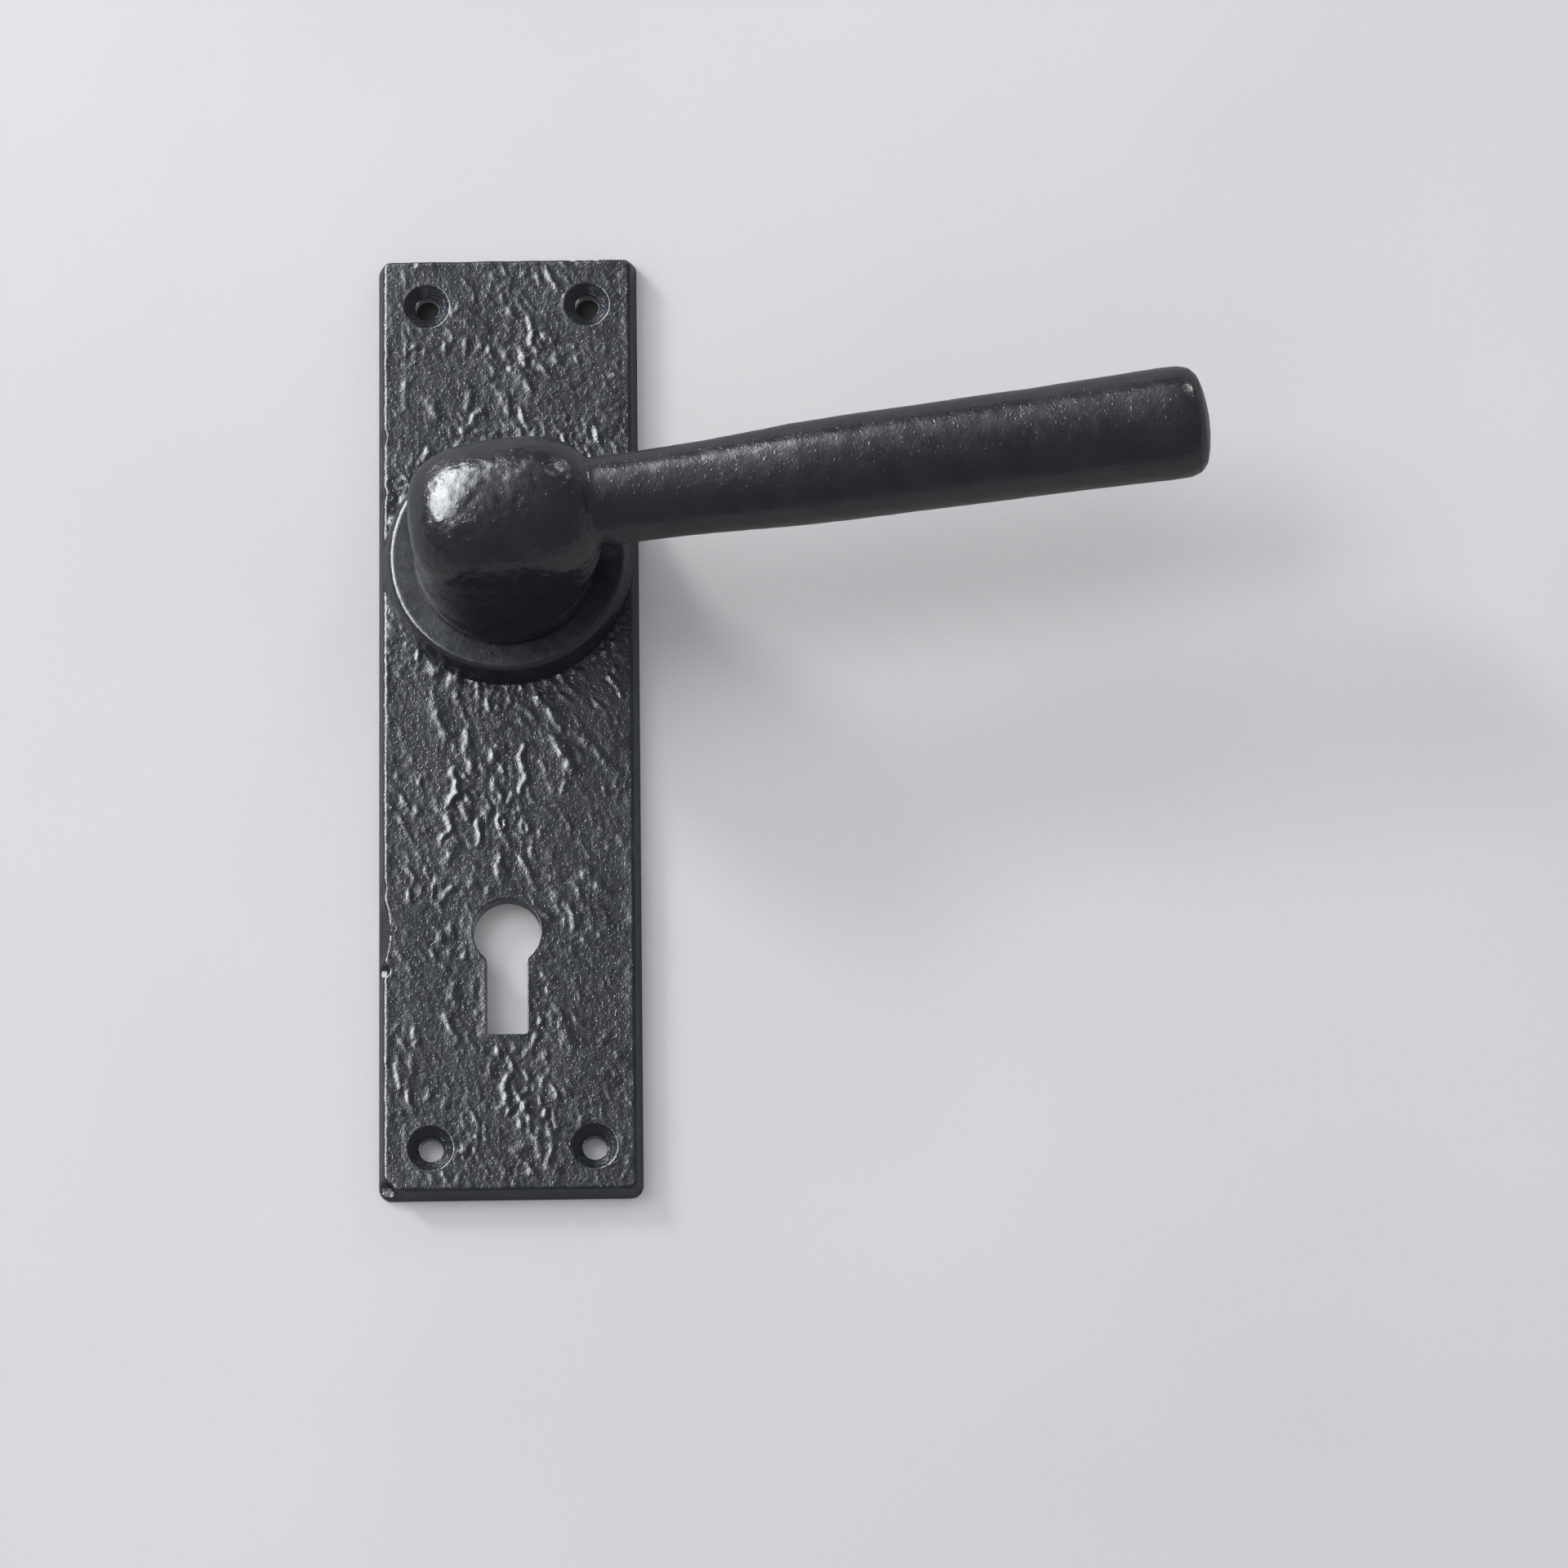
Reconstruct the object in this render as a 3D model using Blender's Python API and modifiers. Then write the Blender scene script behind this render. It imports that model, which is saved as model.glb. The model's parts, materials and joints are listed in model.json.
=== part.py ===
"""Lever lock handle on a rectangular backplate, in black antique cast iron.

The frame: +Z runs up the plate, +X runs to the right, towards the lever's tip, and the
front faces -Y. The origin is the centre of the plate's back face, which lies on the door.
A height is a distance in front of the door, along -Y. All values are in metres.
"""
import math

import bmesh
import bpy
from mathutils import Matrix

FIT_GAP = 0.00020
ROUND_STEPS = 64

# Backplate casting
PLATE_WIDTH = 0.0410
PLATE_LENGTH = 0.1520
PLATE_THICKNESS = 0.0040
PLATE_CORNER_RADIUS = 0.0020
PLATE_DRAFT = 0.0009
PLATE_EDGE_RADIUS = 0.0007

# Raised rose, on the spindle's axis
SPINDLE_Z = 0.0252
ROSE_FACE_HEIGHT = 0.0089
ROSE_FLAT_RADIUS = 0.0177
ROSE_TOP_RADIUS = 0.0188
ROSE_BASE_RADIUS = 0.0199

# Countersunk screw holes: half spacing in X, and each pair's centre
SCREW_HALF_SPACING = 0.0127
SCREW_PAIRS = ((0.0, 0.0677), (0.0004, -0.0684))
SCREW_HOLE_RADIUS = 0.0019
COUNTERSINK_RADIUS = 0.0035
COUNTERSINK_DEPTH = 0.0015

# Keyhole
KEYHOLE_X = -0.0004
KEYHOLE_Z = -0.0342
KEYHOLE_RADIUS = 0.0053
KEY_SLOT_HALF_WIDTH = 0.0032
KEY_SLOT_END_Z = -0.0505
KEY_SLOT_CORNER = 0.0006

# Hollow behind the rose
HOLLOW_RADIUS = 0.0158
HOLLOW_HEIGHT = 0.0067
BUSH_BORE_RADIUS = 0.0092

# Lever: its rest angle above the horizontal, and how far it turns down
LEVER_ANGLE = math.radians(7.2)
LEVER_TRAVEL = math.radians(50)
LEVER_AXIS_HEIGHT = 0.0320
GRIP_STEPS = 40
GRIP_PROFILE = ((0.0000, 0.1105), (0.0025, 0.1104), (0.0050, 0.1100), (0.0070, 0.1094), (0.0082, 0.1083),
                (0.00875, 0.1065), (0.0088, 0.1040), (0.0085, 0.0884), (0.0083, 0.0700), (0.0082, 0.0541),
                (0.0080, 0.0465), (0.0076, 0.0389), (0.0072, 0.0312), (0.00705, 0.0236), (0.0071, 0.0140),
                (0.0000, 0.0060))
HEAD_HALF_LENGTH = 0.01485
HEAD_CENTRE = 0.00060
HEAD_RADIUS = 0.0118
HEAD_SQUARENESS = 2.9
HEAD_RINGS = 22

# Neck sections: height, half length along the lever, half width across it, squareness
NECK_SECTIONS = ((0.0320, 0.0148, 0.0116, 2.9), (0.0215, 0.0148, 0.0119, 2.8), (0.0195, 0.0146, 0.0124, 2.5),
                 (0.0160, 0.0143, 0.0132, 2.2), (0.0130, 0.0142, 0.0139, 2.0), (0.0122, 0.0145, 0.0144, 2.0),
                 (0.0098, 0.0146, 0.0146, 2.0), (0.0092, 0.0142, 0.0142, 2.0))
NECK_POINTS = 56

# Shank behind the collar
SHANK_RADIUS = 0.0077
SHANK_END_HEIGHT = 0.00015
SHANK_FLAT = 0.0062
SHANK_FLAT_HEIGHT = 0.0031
GROOVE_RADIUS = 0.0070
GROOVE_HEIGHTS = (0.00065, 0.00145)
SOCKET_WIDTH = 0.0082
SOCKET_DEPTH_HEIGHT = 0.0260
WASHER_POCKET_RADIUS = 0.0127
WASHER_POCKET_HEIGHT = 0.0100

# Parts inside the hollow: inner radius, outer radius, rear height, front height
FRONT_WASHER = (0.0080, 0.0124, 0.0091, 0.0098)
BUSH_FLANGE = (0.00795, 0.0114, 0.0060, 0.0065)
BUSH_SLEEVE_RADIUS = 0.0090
BUSH_SLEEVE_FRONT = 0.0086
SHIM_WASHER = (0.0079, 0.0106, 0.00150, 0.00185)
CAM_RADIUS = 0.0104
CAM_HEIGHTS = (0.0020, 0.0029)
CAM_ARM_HALF_WIDTH = 0.0030
CAM_ARM_REACH = 0.0151
CAM_ARM_ANGLE = math.radians(-90)
CIRCLIP_HEIGHTS = (0.00075, 0.00135)
CIRCLIP_INNER = 0.00715
CIRCLIP_OUTER = 0.0090
CIRCLIP_EAR_RADIUS = 0.0106
CIRCLIP_EAR_HOLE = 0.0006
CIRCLIP_HALF_GAP = math.radians(13)
CIRCLIP_EAR_ANGLE = math.radians(16)

# Pins stand on one circle in the hollow
PIN_CIRCLE = 0.0138
STOP_PIN_RADIUS = 0.0012
STOP_PIN_HEIGHTS = (0.0012, 0.0077)
SPRING_PIN_RADIUS = 0.0010
ANCHOR_PIN_HEIGHTS = (0.0044, 0.0077)
SPRING_POST_HEIGHTS = (0.00175, 0.0045)

# Return spring
SPRING_WIRE_RADIUS = 0.00045
SPRING_COIL_RADIUS = 0.0111
SPRING_BEND_RADIUS = 0.0012
SPRING_LEG_END = 0.0148
SPRING_TURNS = 1.75
SPRING_FRONT_HEIGHT = 0.00535
SPRING_REAR_HEIGHT = 0.00355
SPRING_POINTS_A_TURN = 24

# Rear cover and its screws
COVER_HEIGHTS = (0.0002, 0.0009)
COVER_INNER_RADIUS = 0.0120
COVER_OUTER_RADIUS = 0.0155
COVER_EAR_RADIUS = 0.0031
COVER_SCREW_CIRCLE = 0.0179
COVER_POCKET_HEIGHT = 0.0011
COVER_SCREW_HEAD = 0.0022
COVER_SCREW_RADIUS = 0.0012
COVER_SCREW_LENGTH = 0.0048
COVER_SCREW_HEAD_HEIGHTS = (0.00025, 0.00105)
COVER_SCREW_SLOT = (0.0040, 0.0006, 0.0004)
SCREW_GAP = 0.00025

STAND_UP = (math.pi / 2, 0.0, 0.0)
SHARP_ANGLE = math.radians(32)


def clear_scene():
    for old in list(bpy.data.objects):
        bpy.data.objects.remove(old, do_unlink=True)


def new_collection(name):
    made = bpy.data.collections.new(name)
    bpy.context.scene.collection.children.link(made)
    return made


def make_material(name, color, metallic, roughness):
    made = bpy.data.materials.new(name)
    made.use_nodes = True
    shader = made.node_tree.nodes["Principled BSDF"]
    shader.inputs["Base Color"].default_value = (*color, 1.0)
    shader.inputs["Metallic"].default_value = metallic
    shader.inputs["Roughness"].default_value = roughness
    return made


def add_object(name, data, parent=None, rotation=STAND_UP, location=(0.0, 0.0, 0.0)):
    """Link an object, turned so that its own +Z points to the front of the handle."""
    made = bpy.data.objects.new(name, data)
    made.rotation_euler = rotation
    made.location = location
    made.parent = parent
    PARTS.objects.link(made)
    bpy.context.view_layer.update()
    return made


def settle(obj):
    """Turn a curve, or a mesh with modifiers, into a plain welded mesh object."""
    bpy.context.view_layer.update()
    view = obj.evaluated_get(bpy.context.evaluated_depsgraph_get())
    mesh = bpy.data.meshes.new_from_object(view)
    bm = bmesh.new()
    bm.from_mesh(mesh)
    bmesh.ops.remove_doubles(bm, verts=bm.verts, dist=0.000001)
    bm.to_mesh(mesh)
    bm.free()
    if obj.type == 'CURVE':
        name = obj.name
        made = add_object(name + "_mesh", mesh, obj.parent, obj.rotation_euler, obj.location)
        bpy.data.objects.remove(obj, do_unlink=True)
        made.name = name
        return made
    obj.modifiers.clear()
    obj.data = mesh
    return obj


def finish(obj, material):
    """Give a finished piece its material and its smooth shading."""
    obj.data.materials.clear()
    obj.data.materials.append(material)
    obj.data.shade_smooth()
    obj.data.set_sharp_from_angle(angle=SHARP_ANGLE)
    return obj


def turned(name, profile, parent=None, steps=ROUND_STEPS, closed=False, **place):
    """Turn a profile of (radius, height) points about the piece's own Z."""
    mesh = bpy.data.meshes.new(name)
    count = len(profile)
    edges = [(i, i + 1) for i in range(count - 1)]
    if closed:
        edges.append((count - 1, 0))
    mesh.from_pydata([(radius, 0.0, height) for radius, height in profile], edges, [])
    obj = add_object(name, mesh, parent, **place)
    screw = obj.modifiers.new("turn", 'SCREW')
    screw.axis = 'Z'
    screw.angle = 2 * math.pi
    screw.steps = steps
    screw.render_steps = steps
    screw.use_merge_vertices = True
    screw.merge_threshold = 0.00001
    return settle(obj)


def disc(name, radius, low, high, parent=None, **options):
    profile = ((0.0, high), (radius, high), (radius, low), (0.0, low))
    return turned(name, profile, parent, **options)


def ring(name, inner, outer, low, high, parent=None, **options):
    profile = ((inner, high), (outer, high), (outer, low), (inner, low))
    return turned(name, profile, parent, closed=True, **options)


def arc(radius, start, end, points, centre=(0.0, 0.0)):
    """Points on an arc, both ends included."""
    angles = [start + (end - start) * i / (points - 1) for i in range(points)]
    return [(centre[0] + radius * math.cos(a), centre[1] + radius * math.sin(a)) for a in angles]


def circle(radius, points, centre=(0.0, 0.0)):
    return arc(radius, 0.0, 2 * math.pi * (points - 1) / points, points, centre)


def flat_piece(name, outlines, low, high, parent=None, location=(0.0, 0.0, 0.0)):
    """A flat piece with its outlines in the XZ plane, between two heights."""
    curve = bpy.data.curves.new(name, 'CURVE')
    curve.dimensions = '2D'
    curve.fill_mode = 'BOTH'
    curve.extrude = (high - low) / 2
    for outline in outlines:
        spline = curve.splines.new('POLY')
        spline.points.add(len(outline) - 1)
        for point, (x, z) in zip(spline.points, outline):
            point.co = (x, z, 0.0, 1.0)
        spline.use_cyclic_u = True
    middle = (location[0], location[1] - (low + high) / 2, location[2])
    return settle(add_object(name, curve, parent, location=middle))


def block(name, size, centre, parent=None):
    """A box with its size along X, Y and Z, centred at a place."""
    mesh = bpy.data.meshes.new(name)
    bm = bmesh.new()
    bmesh.ops.create_cube(bm, size=1.0)
    bmesh.ops.scale(bm, vec=size, verts=bm.verts)
    bm.to_mesh(mesh)
    bm.free()
    return add_object(name, mesh, parent, rotation=(0.0, 0.0, 0.0), location=centre)


def combine(target, tool, operation):
    """Join a tool to a piece, or cut the piece with it."""
    for owner in list(tool.users_collection):
        owner.objects.unlink(tool)
    CUTTERS.objects.link(tool)
    tool.hide_render = True
    tool.display_type = 'WIRE'
    boolean = target.modifiers.new(tool.name, 'BOOLEAN')
    boolean.operation = operation
    boolean.solver = 'EXACT'
    boolean.object = tool


def polar(radius, angle):
    return radius * math.cos(angle), radius * math.sin(angle)


def at_pin(angle):
    """A place on the pin circle, as a location for a piece on the door's plane."""
    x, z = polar(PIN_CIRCLE, angle)
    return x, 0.0, SPINDLE_Z + z


def rest_arm_angle():
    return CAM_ARM_ANGLE + LEVER_ANGLE


def stop_angles():
    """Angles of the two stop pins, where the cam's arm meets them at its limits."""
    reach = CAM_ARM_HALF_WIDTH + STOP_PIN_RADIUS + FIT_GAP
    offset = math.asin(reach / PIN_CIRCLE)
    return rest_arm_angle() + offset, rest_arm_angle() - LEVER_TRAVEL - offset


def spring_leg_angles():
    """Angles of the fixed leg and the free leg. The free leg lies beside the spring post."""
    free = rest_arm_angle() - leg_offset()
    return free + 2 * math.pi * SPRING_TURNS, free


def leg_offset():
    return math.asin((SPRING_PIN_RADIUS + SPRING_WIRE_RADIUS + FIT_GAP) / PIN_CIRCLE)


# ---- Backplate -----------------------------------------------------------------------------

def make_plate_blank():
    """The plate without its rose: sloping sides, round corners and a rounded front edge."""
    obj = block("backplate", (PLATE_WIDTH, PLATE_THICKNESS, PLATE_LENGTH), (0.0, -PLATE_THICKNESS / 2, 0.0))
    bm = bmesh.new()
    bm.from_mesh(obj.data)
    for vert in bm.verts:
        if vert.co.y < 0:
            vert.co.x -= math.copysign(PLATE_DRAFT, vert.co.x)
            vert.co.z -= math.copysign(PLATE_DRAFT, vert.co.z)
    corners = [e for e in bm.edges if e.verts[0].co.y * e.verts[1].co.y < 0]
    bmesh.ops.bevel(bm, geom=corners, offset=PLATE_CORNER_RADIUS, segments=5, profile=0.5, affect='EDGES')
    front = -PLATE_THICKNESS / 2
    rim = [e for e in bm.edges if all(abs(v.co.y - front) < 1e-6 for v in e.verts)]
    bmesh.ops.bevel(bm, geom=rim, offset=PLATE_EDGE_RADIUS, segments=3, profile=0.5, affect='EDGES')
    bm.to_mesh(obj.data)
    bm.free()
    return obj


def make_rose():
    profile = ((0.0, ROSE_FACE_HEIGHT), (ROSE_FLAT_RADIUS, ROSE_FACE_HEIGHT),
               (ROSE_FLAT_RADIUS + 0.0006, ROSE_FACE_HEIGHT - 0.00015),
               (ROSE_FLAT_RADIUS + 0.0010, ROSE_FACE_HEIGHT - 0.0006),
               (ROSE_TOP_RADIUS, ROSE_FACE_HEIGHT - 0.0011),
               (ROSE_BASE_RADIUS, PLATE_THICKNESS), (ROSE_BASE_RADIUS + 0.0002, 0.0030), (0.0, 0.0030))
    return turned("rose_blank", profile, location=(0.0, 0.0, SPINDLE_Z))


def make_keyhole_cutter():
    half = KEY_SLOT_HALF_WIDTH
    meet = math.asin(half / KEYHOLE_RADIUS)
    end = KEY_SLOT_END_Z - KEYHOLE_Z
    outline = arc(KEYHOLE_RADIUS, meet - math.pi / 2, 1.5 * math.pi - meet, 40)
    outline += arc(KEY_SLOT_CORNER, math.pi, 1.5 * math.pi, 4, (KEY_SLOT_CORNER - half, end + KEY_SLOT_CORNER))
    outline += arc(KEY_SLOT_CORNER, -math.pi / 2, 0.0, 4, (half - KEY_SLOT_CORNER, end + KEY_SLOT_CORNER))
    return flat_piece("keyhole_cutter", [outline], -0.001, PLATE_THICKNESS + 0.001,
                      location=(KEYHOLE_X, 0.0, KEYHOLE_Z))


def cover_outline(gap):
    """Outline of the rear cover: a circle with an ear above and an ear below, grown by a gap."""
    radius = COVER_OUTER_RADIUS + gap
    ear = COVER_EAR_RADIUS + gap
    meet = math.asin(ear / radius)
    up = math.pi / 2
    outline = arc(radius, -up + meet, up - meet, 24)
    outline += arc(ear, 0.0, math.pi, 9, (0.0, COVER_SCREW_CIRCLE))
    outline += arc(radius, up + meet, 3 * up - meet, 24)
    outline += arc(ear, math.pi, 2 * math.pi, 9, (0.0, -COVER_SCREW_CIRCLE))
    return outline


def make_backplate(material):
    plate = make_plate_blank()
    spindle = (0.0, 0.0, SPINDLE_Z)
    combine(plate, make_rose(), 'UNION')
    hollow = ((0.0, ROSE_FACE_HEIGHT + 0.001), (BUSH_BORE_RADIUS, ROSE_FACE_HEIGHT + 0.001),
              (BUSH_BORE_RADIUS, HOLLOW_HEIGHT), (HOLLOW_RADIUS, HOLLOW_HEIGHT), (HOLLOW_RADIUS, -0.001),
              (0.0, -0.001))
    combine(plate, turned("hollow_cutter", hollow, location=spindle), 'DIFFERENCE')
    pocket = flat_piece("cover_pocket_cutter", [cover_outline(0.0003)], -0.001, COVER_POCKET_HEIGHT,
                        location=spindle)
    combine(plate, pocket, 'DIFFERENCE')
    combine(plate, make_keyhole_cutter(), 'DIFFERENCE')
    sink = ((0.0, PLATE_THICKNESS + 0.001), (COUNTERSINK_RADIUS, PLATE_THICKNESS + 0.001),
            (COUNTERSINK_RADIUS, PLATE_THICKNESS), (SCREW_HOLE_RADIUS, PLATE_THICKNESS - COUNTERSINK_DEPTH),
            (SCREW_HOLE_RADIUS, -0.001), (0.0, -0.001))
    for pair_x, pair_z in SCREW_PAIRS:
        for side in (-1, 1):
            place = (pair_x + side * SCREW_HALF_SPACING, 0.0, pair_z)
            combine(plate, turned("screw_hole_cutter", sink, steps=32, location=place), 'DIFFERENCE')
    for side in (-1, 1):
        place = (0.0, 0.0, SPINDLE_Z + side * COVER_SCREW_CIRCLE)
        hole = disc("cover_screw_cutter", COVER_SCREW_RADIUS + SCREW_GAP, 0.0005,
                    COVER_SCREW_LENGTH + 0.0005, steps=24, location=place)
        combine(plate, hole, 'DIFFERENCE')
    up_stop, down_stop = stop_angles()
    anchor = spring_leg_angles()[0] - leg_offset()
    pins = ((up_stop, STOP_PIN_RADIUS), (down_stop, STOP_PIN_RADIUS), (anchor, SPRING_PIN_RADIUS))
    for angle, radius in pins:
        hole = disc("pin_hole_cutter", radius + FIT_GAP, HOLLOW_HEIGHT - 0.001,
                    STOP_PIN_HEIGHTS[1] + FIT_GAP, steps=24, location=at_pin(angle))
        combine(plate, hole, 'DIFFERENCE')
    return finish(settle(plate), material)


# ---- Lever ---------------------------------------------------------------------------------

def make_head(parent):
    """The barrel-shaped head, turned about the lever's own axis."""
    profile = []
    for i in range(HEAD_RINGS + 1):
        along = math.cos(math.pi * i / HEAD_RINGS)
        radius = (1 - abs(along) ** HEAD_SQUARENESS) ** (1 / HEAD_SQUARENESS)
        profile.append((HEAD_RADIUS * radius, HEAD_CENTRE + HEAD_HALF_LENGTH * along))
    profile[0] = (0.0, profile[0][1])
    profile[-1] = (0.0, profile[-1][1])
    return turned("head_blank", profile, parent, rotation=(0.0, math.pi / 2, 0.0),
                  location=(0.0, -LEVER_AXIS_HEIGHT, 0.0))


def neck_loop(bm, height, half_length, half_width, squareness):
    """One closed loop of the neck, between an ellipse and a rounded rectangle in shape."""
    offset = HEAD_CENTRE * (squareness - 2) / (HEAD_SQUARENESS - 2)
    loop = []
    for i in range(NECK_POINTS):
        turn = 2 * math.pi * i / NECK_POINTS
        x = math.copysign(abs(math.cos(turn)) ** (2 / squareness), math.cos(turn)) * half_length
        z = math.copysign(abs(math.sin(turn)) ** (2 / squareness), math.sin(turn)) * half_width
        loop.append(bm.verts.new((x + offset, -height, z)))
    return loop


def make_neck(parent):
    """The loft from the head's outline to the round collar that faces the rose."""
    bm = bmesh.new()
    loops = [neck_loop(bm, *section) for section in NECK_SECTIONS]
    for upper, lower in zip(loops, loops[1:]):
        for i in range(NECK_POINTS):
            j = (i + 1) % NECK_POINTS
            bm.faces.new((upper[i], upper[j], lower[j], lower[i]))
    bm.faces.new(loops[0])
    bm.faces.new(loops[-1])
    bmesh.ops.recalc_face_normals(bm, faces=bm.faces)
    mesh = bpy.data.meshes.new("lever_handle")
    bm.to_mesh(mesh)
    bm.free()
    return add_object("lever_handle", mesh, parent, rotation=(0.0, 0.0, 0.0))


def make_lever(parent, material):
    lever = make_neck(parent)
    pocket = disc("washer_pocket_cutter", WASHER_POCKET_RADIUS, 0.008, WASHER_POCKET_HEIGHT, parent)
    combine(lever, pocket, 'DIFFERENCE')
    combine(lever, make_head(parent), 'UNION')
    grip = turned("grip_blank", GRIP_PROFILE, parent, steps=GRIP_STEPS, rotation=(0.0, math.pi / 2, 0.0),
                  location=(0.0, -LEVER_AXIS_HEIGHT, 0.0))
    combine(lever, grip, 'UNION')
    combine(lever, disc("shank_blank", SHANK_RADIUS, SHANK_END_HEIGHT, 0.012, parent), 'UNION')
    socket = block("socket_cutter", (SOCKET_WIDTH, SOCKET_DEPTH_HEIGHT + 0.001, SOCKET_WIDTH),
                   (0.0, -(SOCKET_DEPTH_HEIGHT - 0.001) / 2, 0.0), parent)
    combine(lever, socket, 'DIFFERENCE')
    flat_depth = 0.004
    for side in (-1, 1):
        flat = block("flat_cutter", (0.020, SHANK_FLAT_HEIGHT + 0.001, flat_depth),
                     (0.0, -(SHANK_FLAT_HEIGHT - 0.001) / 2, side * (SHANK_FLAT + flat_depth / 2)), parent)
        combine(lever, flat, 'DIFFERENCE')
    combine(lever, ring("groove_cutter", GROOVE_RADIUS, 0.0090, *GROOVE_HEIGHTS, parent), 'DIFFERENCE')
    return finish(settle(lever), material)


# ---- Parts that turn with the lever ----------------------------------------------------------

def make_cam(parent, material):
    """The keyed plate: a disc with one arm, and a hole with two flats."""
    meet = math.asin(CAM_ARM_HALF_WIDTH / CAM_RADIUS)
    half = CAM_ARM_HALF_WIDTH
    corner = 0.0008
    outline = arc(CAM_RADIUS, CAM_ARM_ANGLE + meet, CAM_ARM_ANGLE + 2 * math.pi - meet, 48)
    outline += arc(corner, math.pi, 1.5 * math.pi, 4, (corner - half, corner - CAM_ARM_REACH))
    outline += arc(corner, -math.pi / 2, 0.0, 4, (half - corner, corner - CAM_ARM_REACH))
    hole_radius = SHANK_RADIUS + FIT_GAP
    flat_angle = math.asin((SHANK_FLAT + FIT_GAP) / hole_radius)
    hole = arc(hole_radius, -flat_angle, flat_angle, 14)
    hole += arc(hole_radius, math.pi - flat_angle, math.pi + flat_angle, 14)
    post_hole = circle(SPRING_PIN_RADIUS + FIT_GAP, 20, polar(PIN_CIRCLE, CAM_ARM_ANGLE))
    return finish(flat_piece("drive_cam", [outline, hole, post_hole], *CAM_HEIGHTS, parent), material)


def make_circlip(parent, material):
    """The open ring with two eared ends, seated in the shank's groove."""
    up = math.pi / 2
    near = CIRCLIP_HALF_GAP
    far = CIRCLIP_HALF_GAP + CIRCLIP_EAR_ANGLE
    outline = arc(CIRCLIP_EAR_RADIUS, up + far, up + near, 5)
    outline += arc(CIRCLIP_INNER, up + near, up + 2 * math.pi - near, 56)
    outline += arc(CIRCLIP_EAR_RADIUS, up - near, up - far, 5)
    outline += arc(CIRCLIP_OUTER, up - far - 0.05, up + far + 0.05 - 2 * math.pi, 48)
    holes = []
    for side in (-1, 1):
        centre = polar(0.0091, up + side * (near + far) / 2)
        holes.append(circle(CIRCLIP_EAR_HOLE, 14, centre))
    return finish(flat_piece("circlip", [outline] + holes, *CIRCLIP_HEIGHTS, parent), material)


def make_post(parent, material):
    x, z = polar(PIN_CIRCLE, CAM_ARM_ANGLE)
    post = disc("spring_post", SPRING_PIN_RADIUS, *SPRING_POST_HEIGHTS, parent, steps=20,
                location=(x, 0.0, z))
    return finish(post, material)


# ---- Parts fixed in the backplate --------------------------------------------------------------

def make_bush(material):
    inner, outer, rear, front = BUSH_FLANGE
    profile = ((inner, BUSH_SLEEVE_FRONT), (BUSH_SLEEVE_RADIUS, BUSH_SLEEVE_FRONT), (BUSH_SLEEVE_RADIUS, front),
               (outer, front), (outer, rear), (inner, rear))
    bush = turned("bearing_bush", profile, closed=True, location=(0.0, 0.0, SPINDLE_Z))
    return finish(bush, material)


def make_pin(name, radius, heights, angle, material):
    chamfer = 0.0002
    low, high = heights
    profile = ((0.0, high), (radius, high), (radius, low + chamfer), (radius - chamfer, low), (0.0, low))
    return finish(turned(name, profile, steps=24, location=at_pin(angle)), material)


def spring_route():
    """Points along the spring's wire: fixed leg, bend, coil, bend, free leg, as x, height, z."""
    start, end = spring_leg_angles()
    bend = SPRING_BEND_RADIUS
    skip = math.atan(bend / SPRING_COIL_RADIUS)

    def leg(angle, side):
        """Points from the leg's tip to the coil. The coil lies clockwise of it when side is 1."""
        out = (math.cos(angle), math.sin(angle))
        along = (side * math.sin(angle), -side * math.cos(angle))
        route = [(out[0] * r, out[1] * r) for r in (SPRING_LEG_END, SPRING_COIL_RADIUS + bend + 0.001)]
        for i in range(5):
            turn = math.pi / 2 * i / 4
            far = SPRING_COIL_RADIUS + bend - bend * math.sin(turn)
            aside = bend - bend * math.cos(turn)
            route.append((out[0] * far + along[0] * aside, out[1] * far + along[1] * aside))
        return route

    points = [(x, SPRING_FRONT_HEIGHT, z) for x, z in leg(start, 1)]
    count = int(SPRING_POINTS_A_TURN * SPRING_TURNS)
    for i in range(1, count):
        part = i / count
        angle = start - skip + (end + skip - (start - skip)) * part
        height = SPRING_FRONT_HEIGHT + (SPRING_REAR_HEIGHT - SPRING_FRONT_HEIGHT) * part
        x, z = polar(SPRING_COIL_RADIUS, angle)
        points.append((x, height, z))
    points += [(x, SPRING_REAR_HEIGHT, z) for x, z in reversed(leg(end, -1))]
    return points


def make_spring(material):
    curve = bpy.data.curves.new("return_spring", 'CURVE')
    curve.dimensions = '3D'
    curve.bevel_depth = SPRING_WIRE_RADIUS
    curve.bevel_resolution = 2
    curve.use_fill_caps = True
    route = spring_route()
    spline = curve.splines.new('POLY')
    spline.points.add(len(route) - 1)
    for point, (x, height, z) in zip(spline.points, route):
        point.co = (x, -height, z, 1.0)
    spring = add_object("return_spring", curve, rotation=(0.0, 0.0, 0.0), location=(0.0, 0.0, SPINDLE_Z))
    return finish(settle(spring), material)


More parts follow.
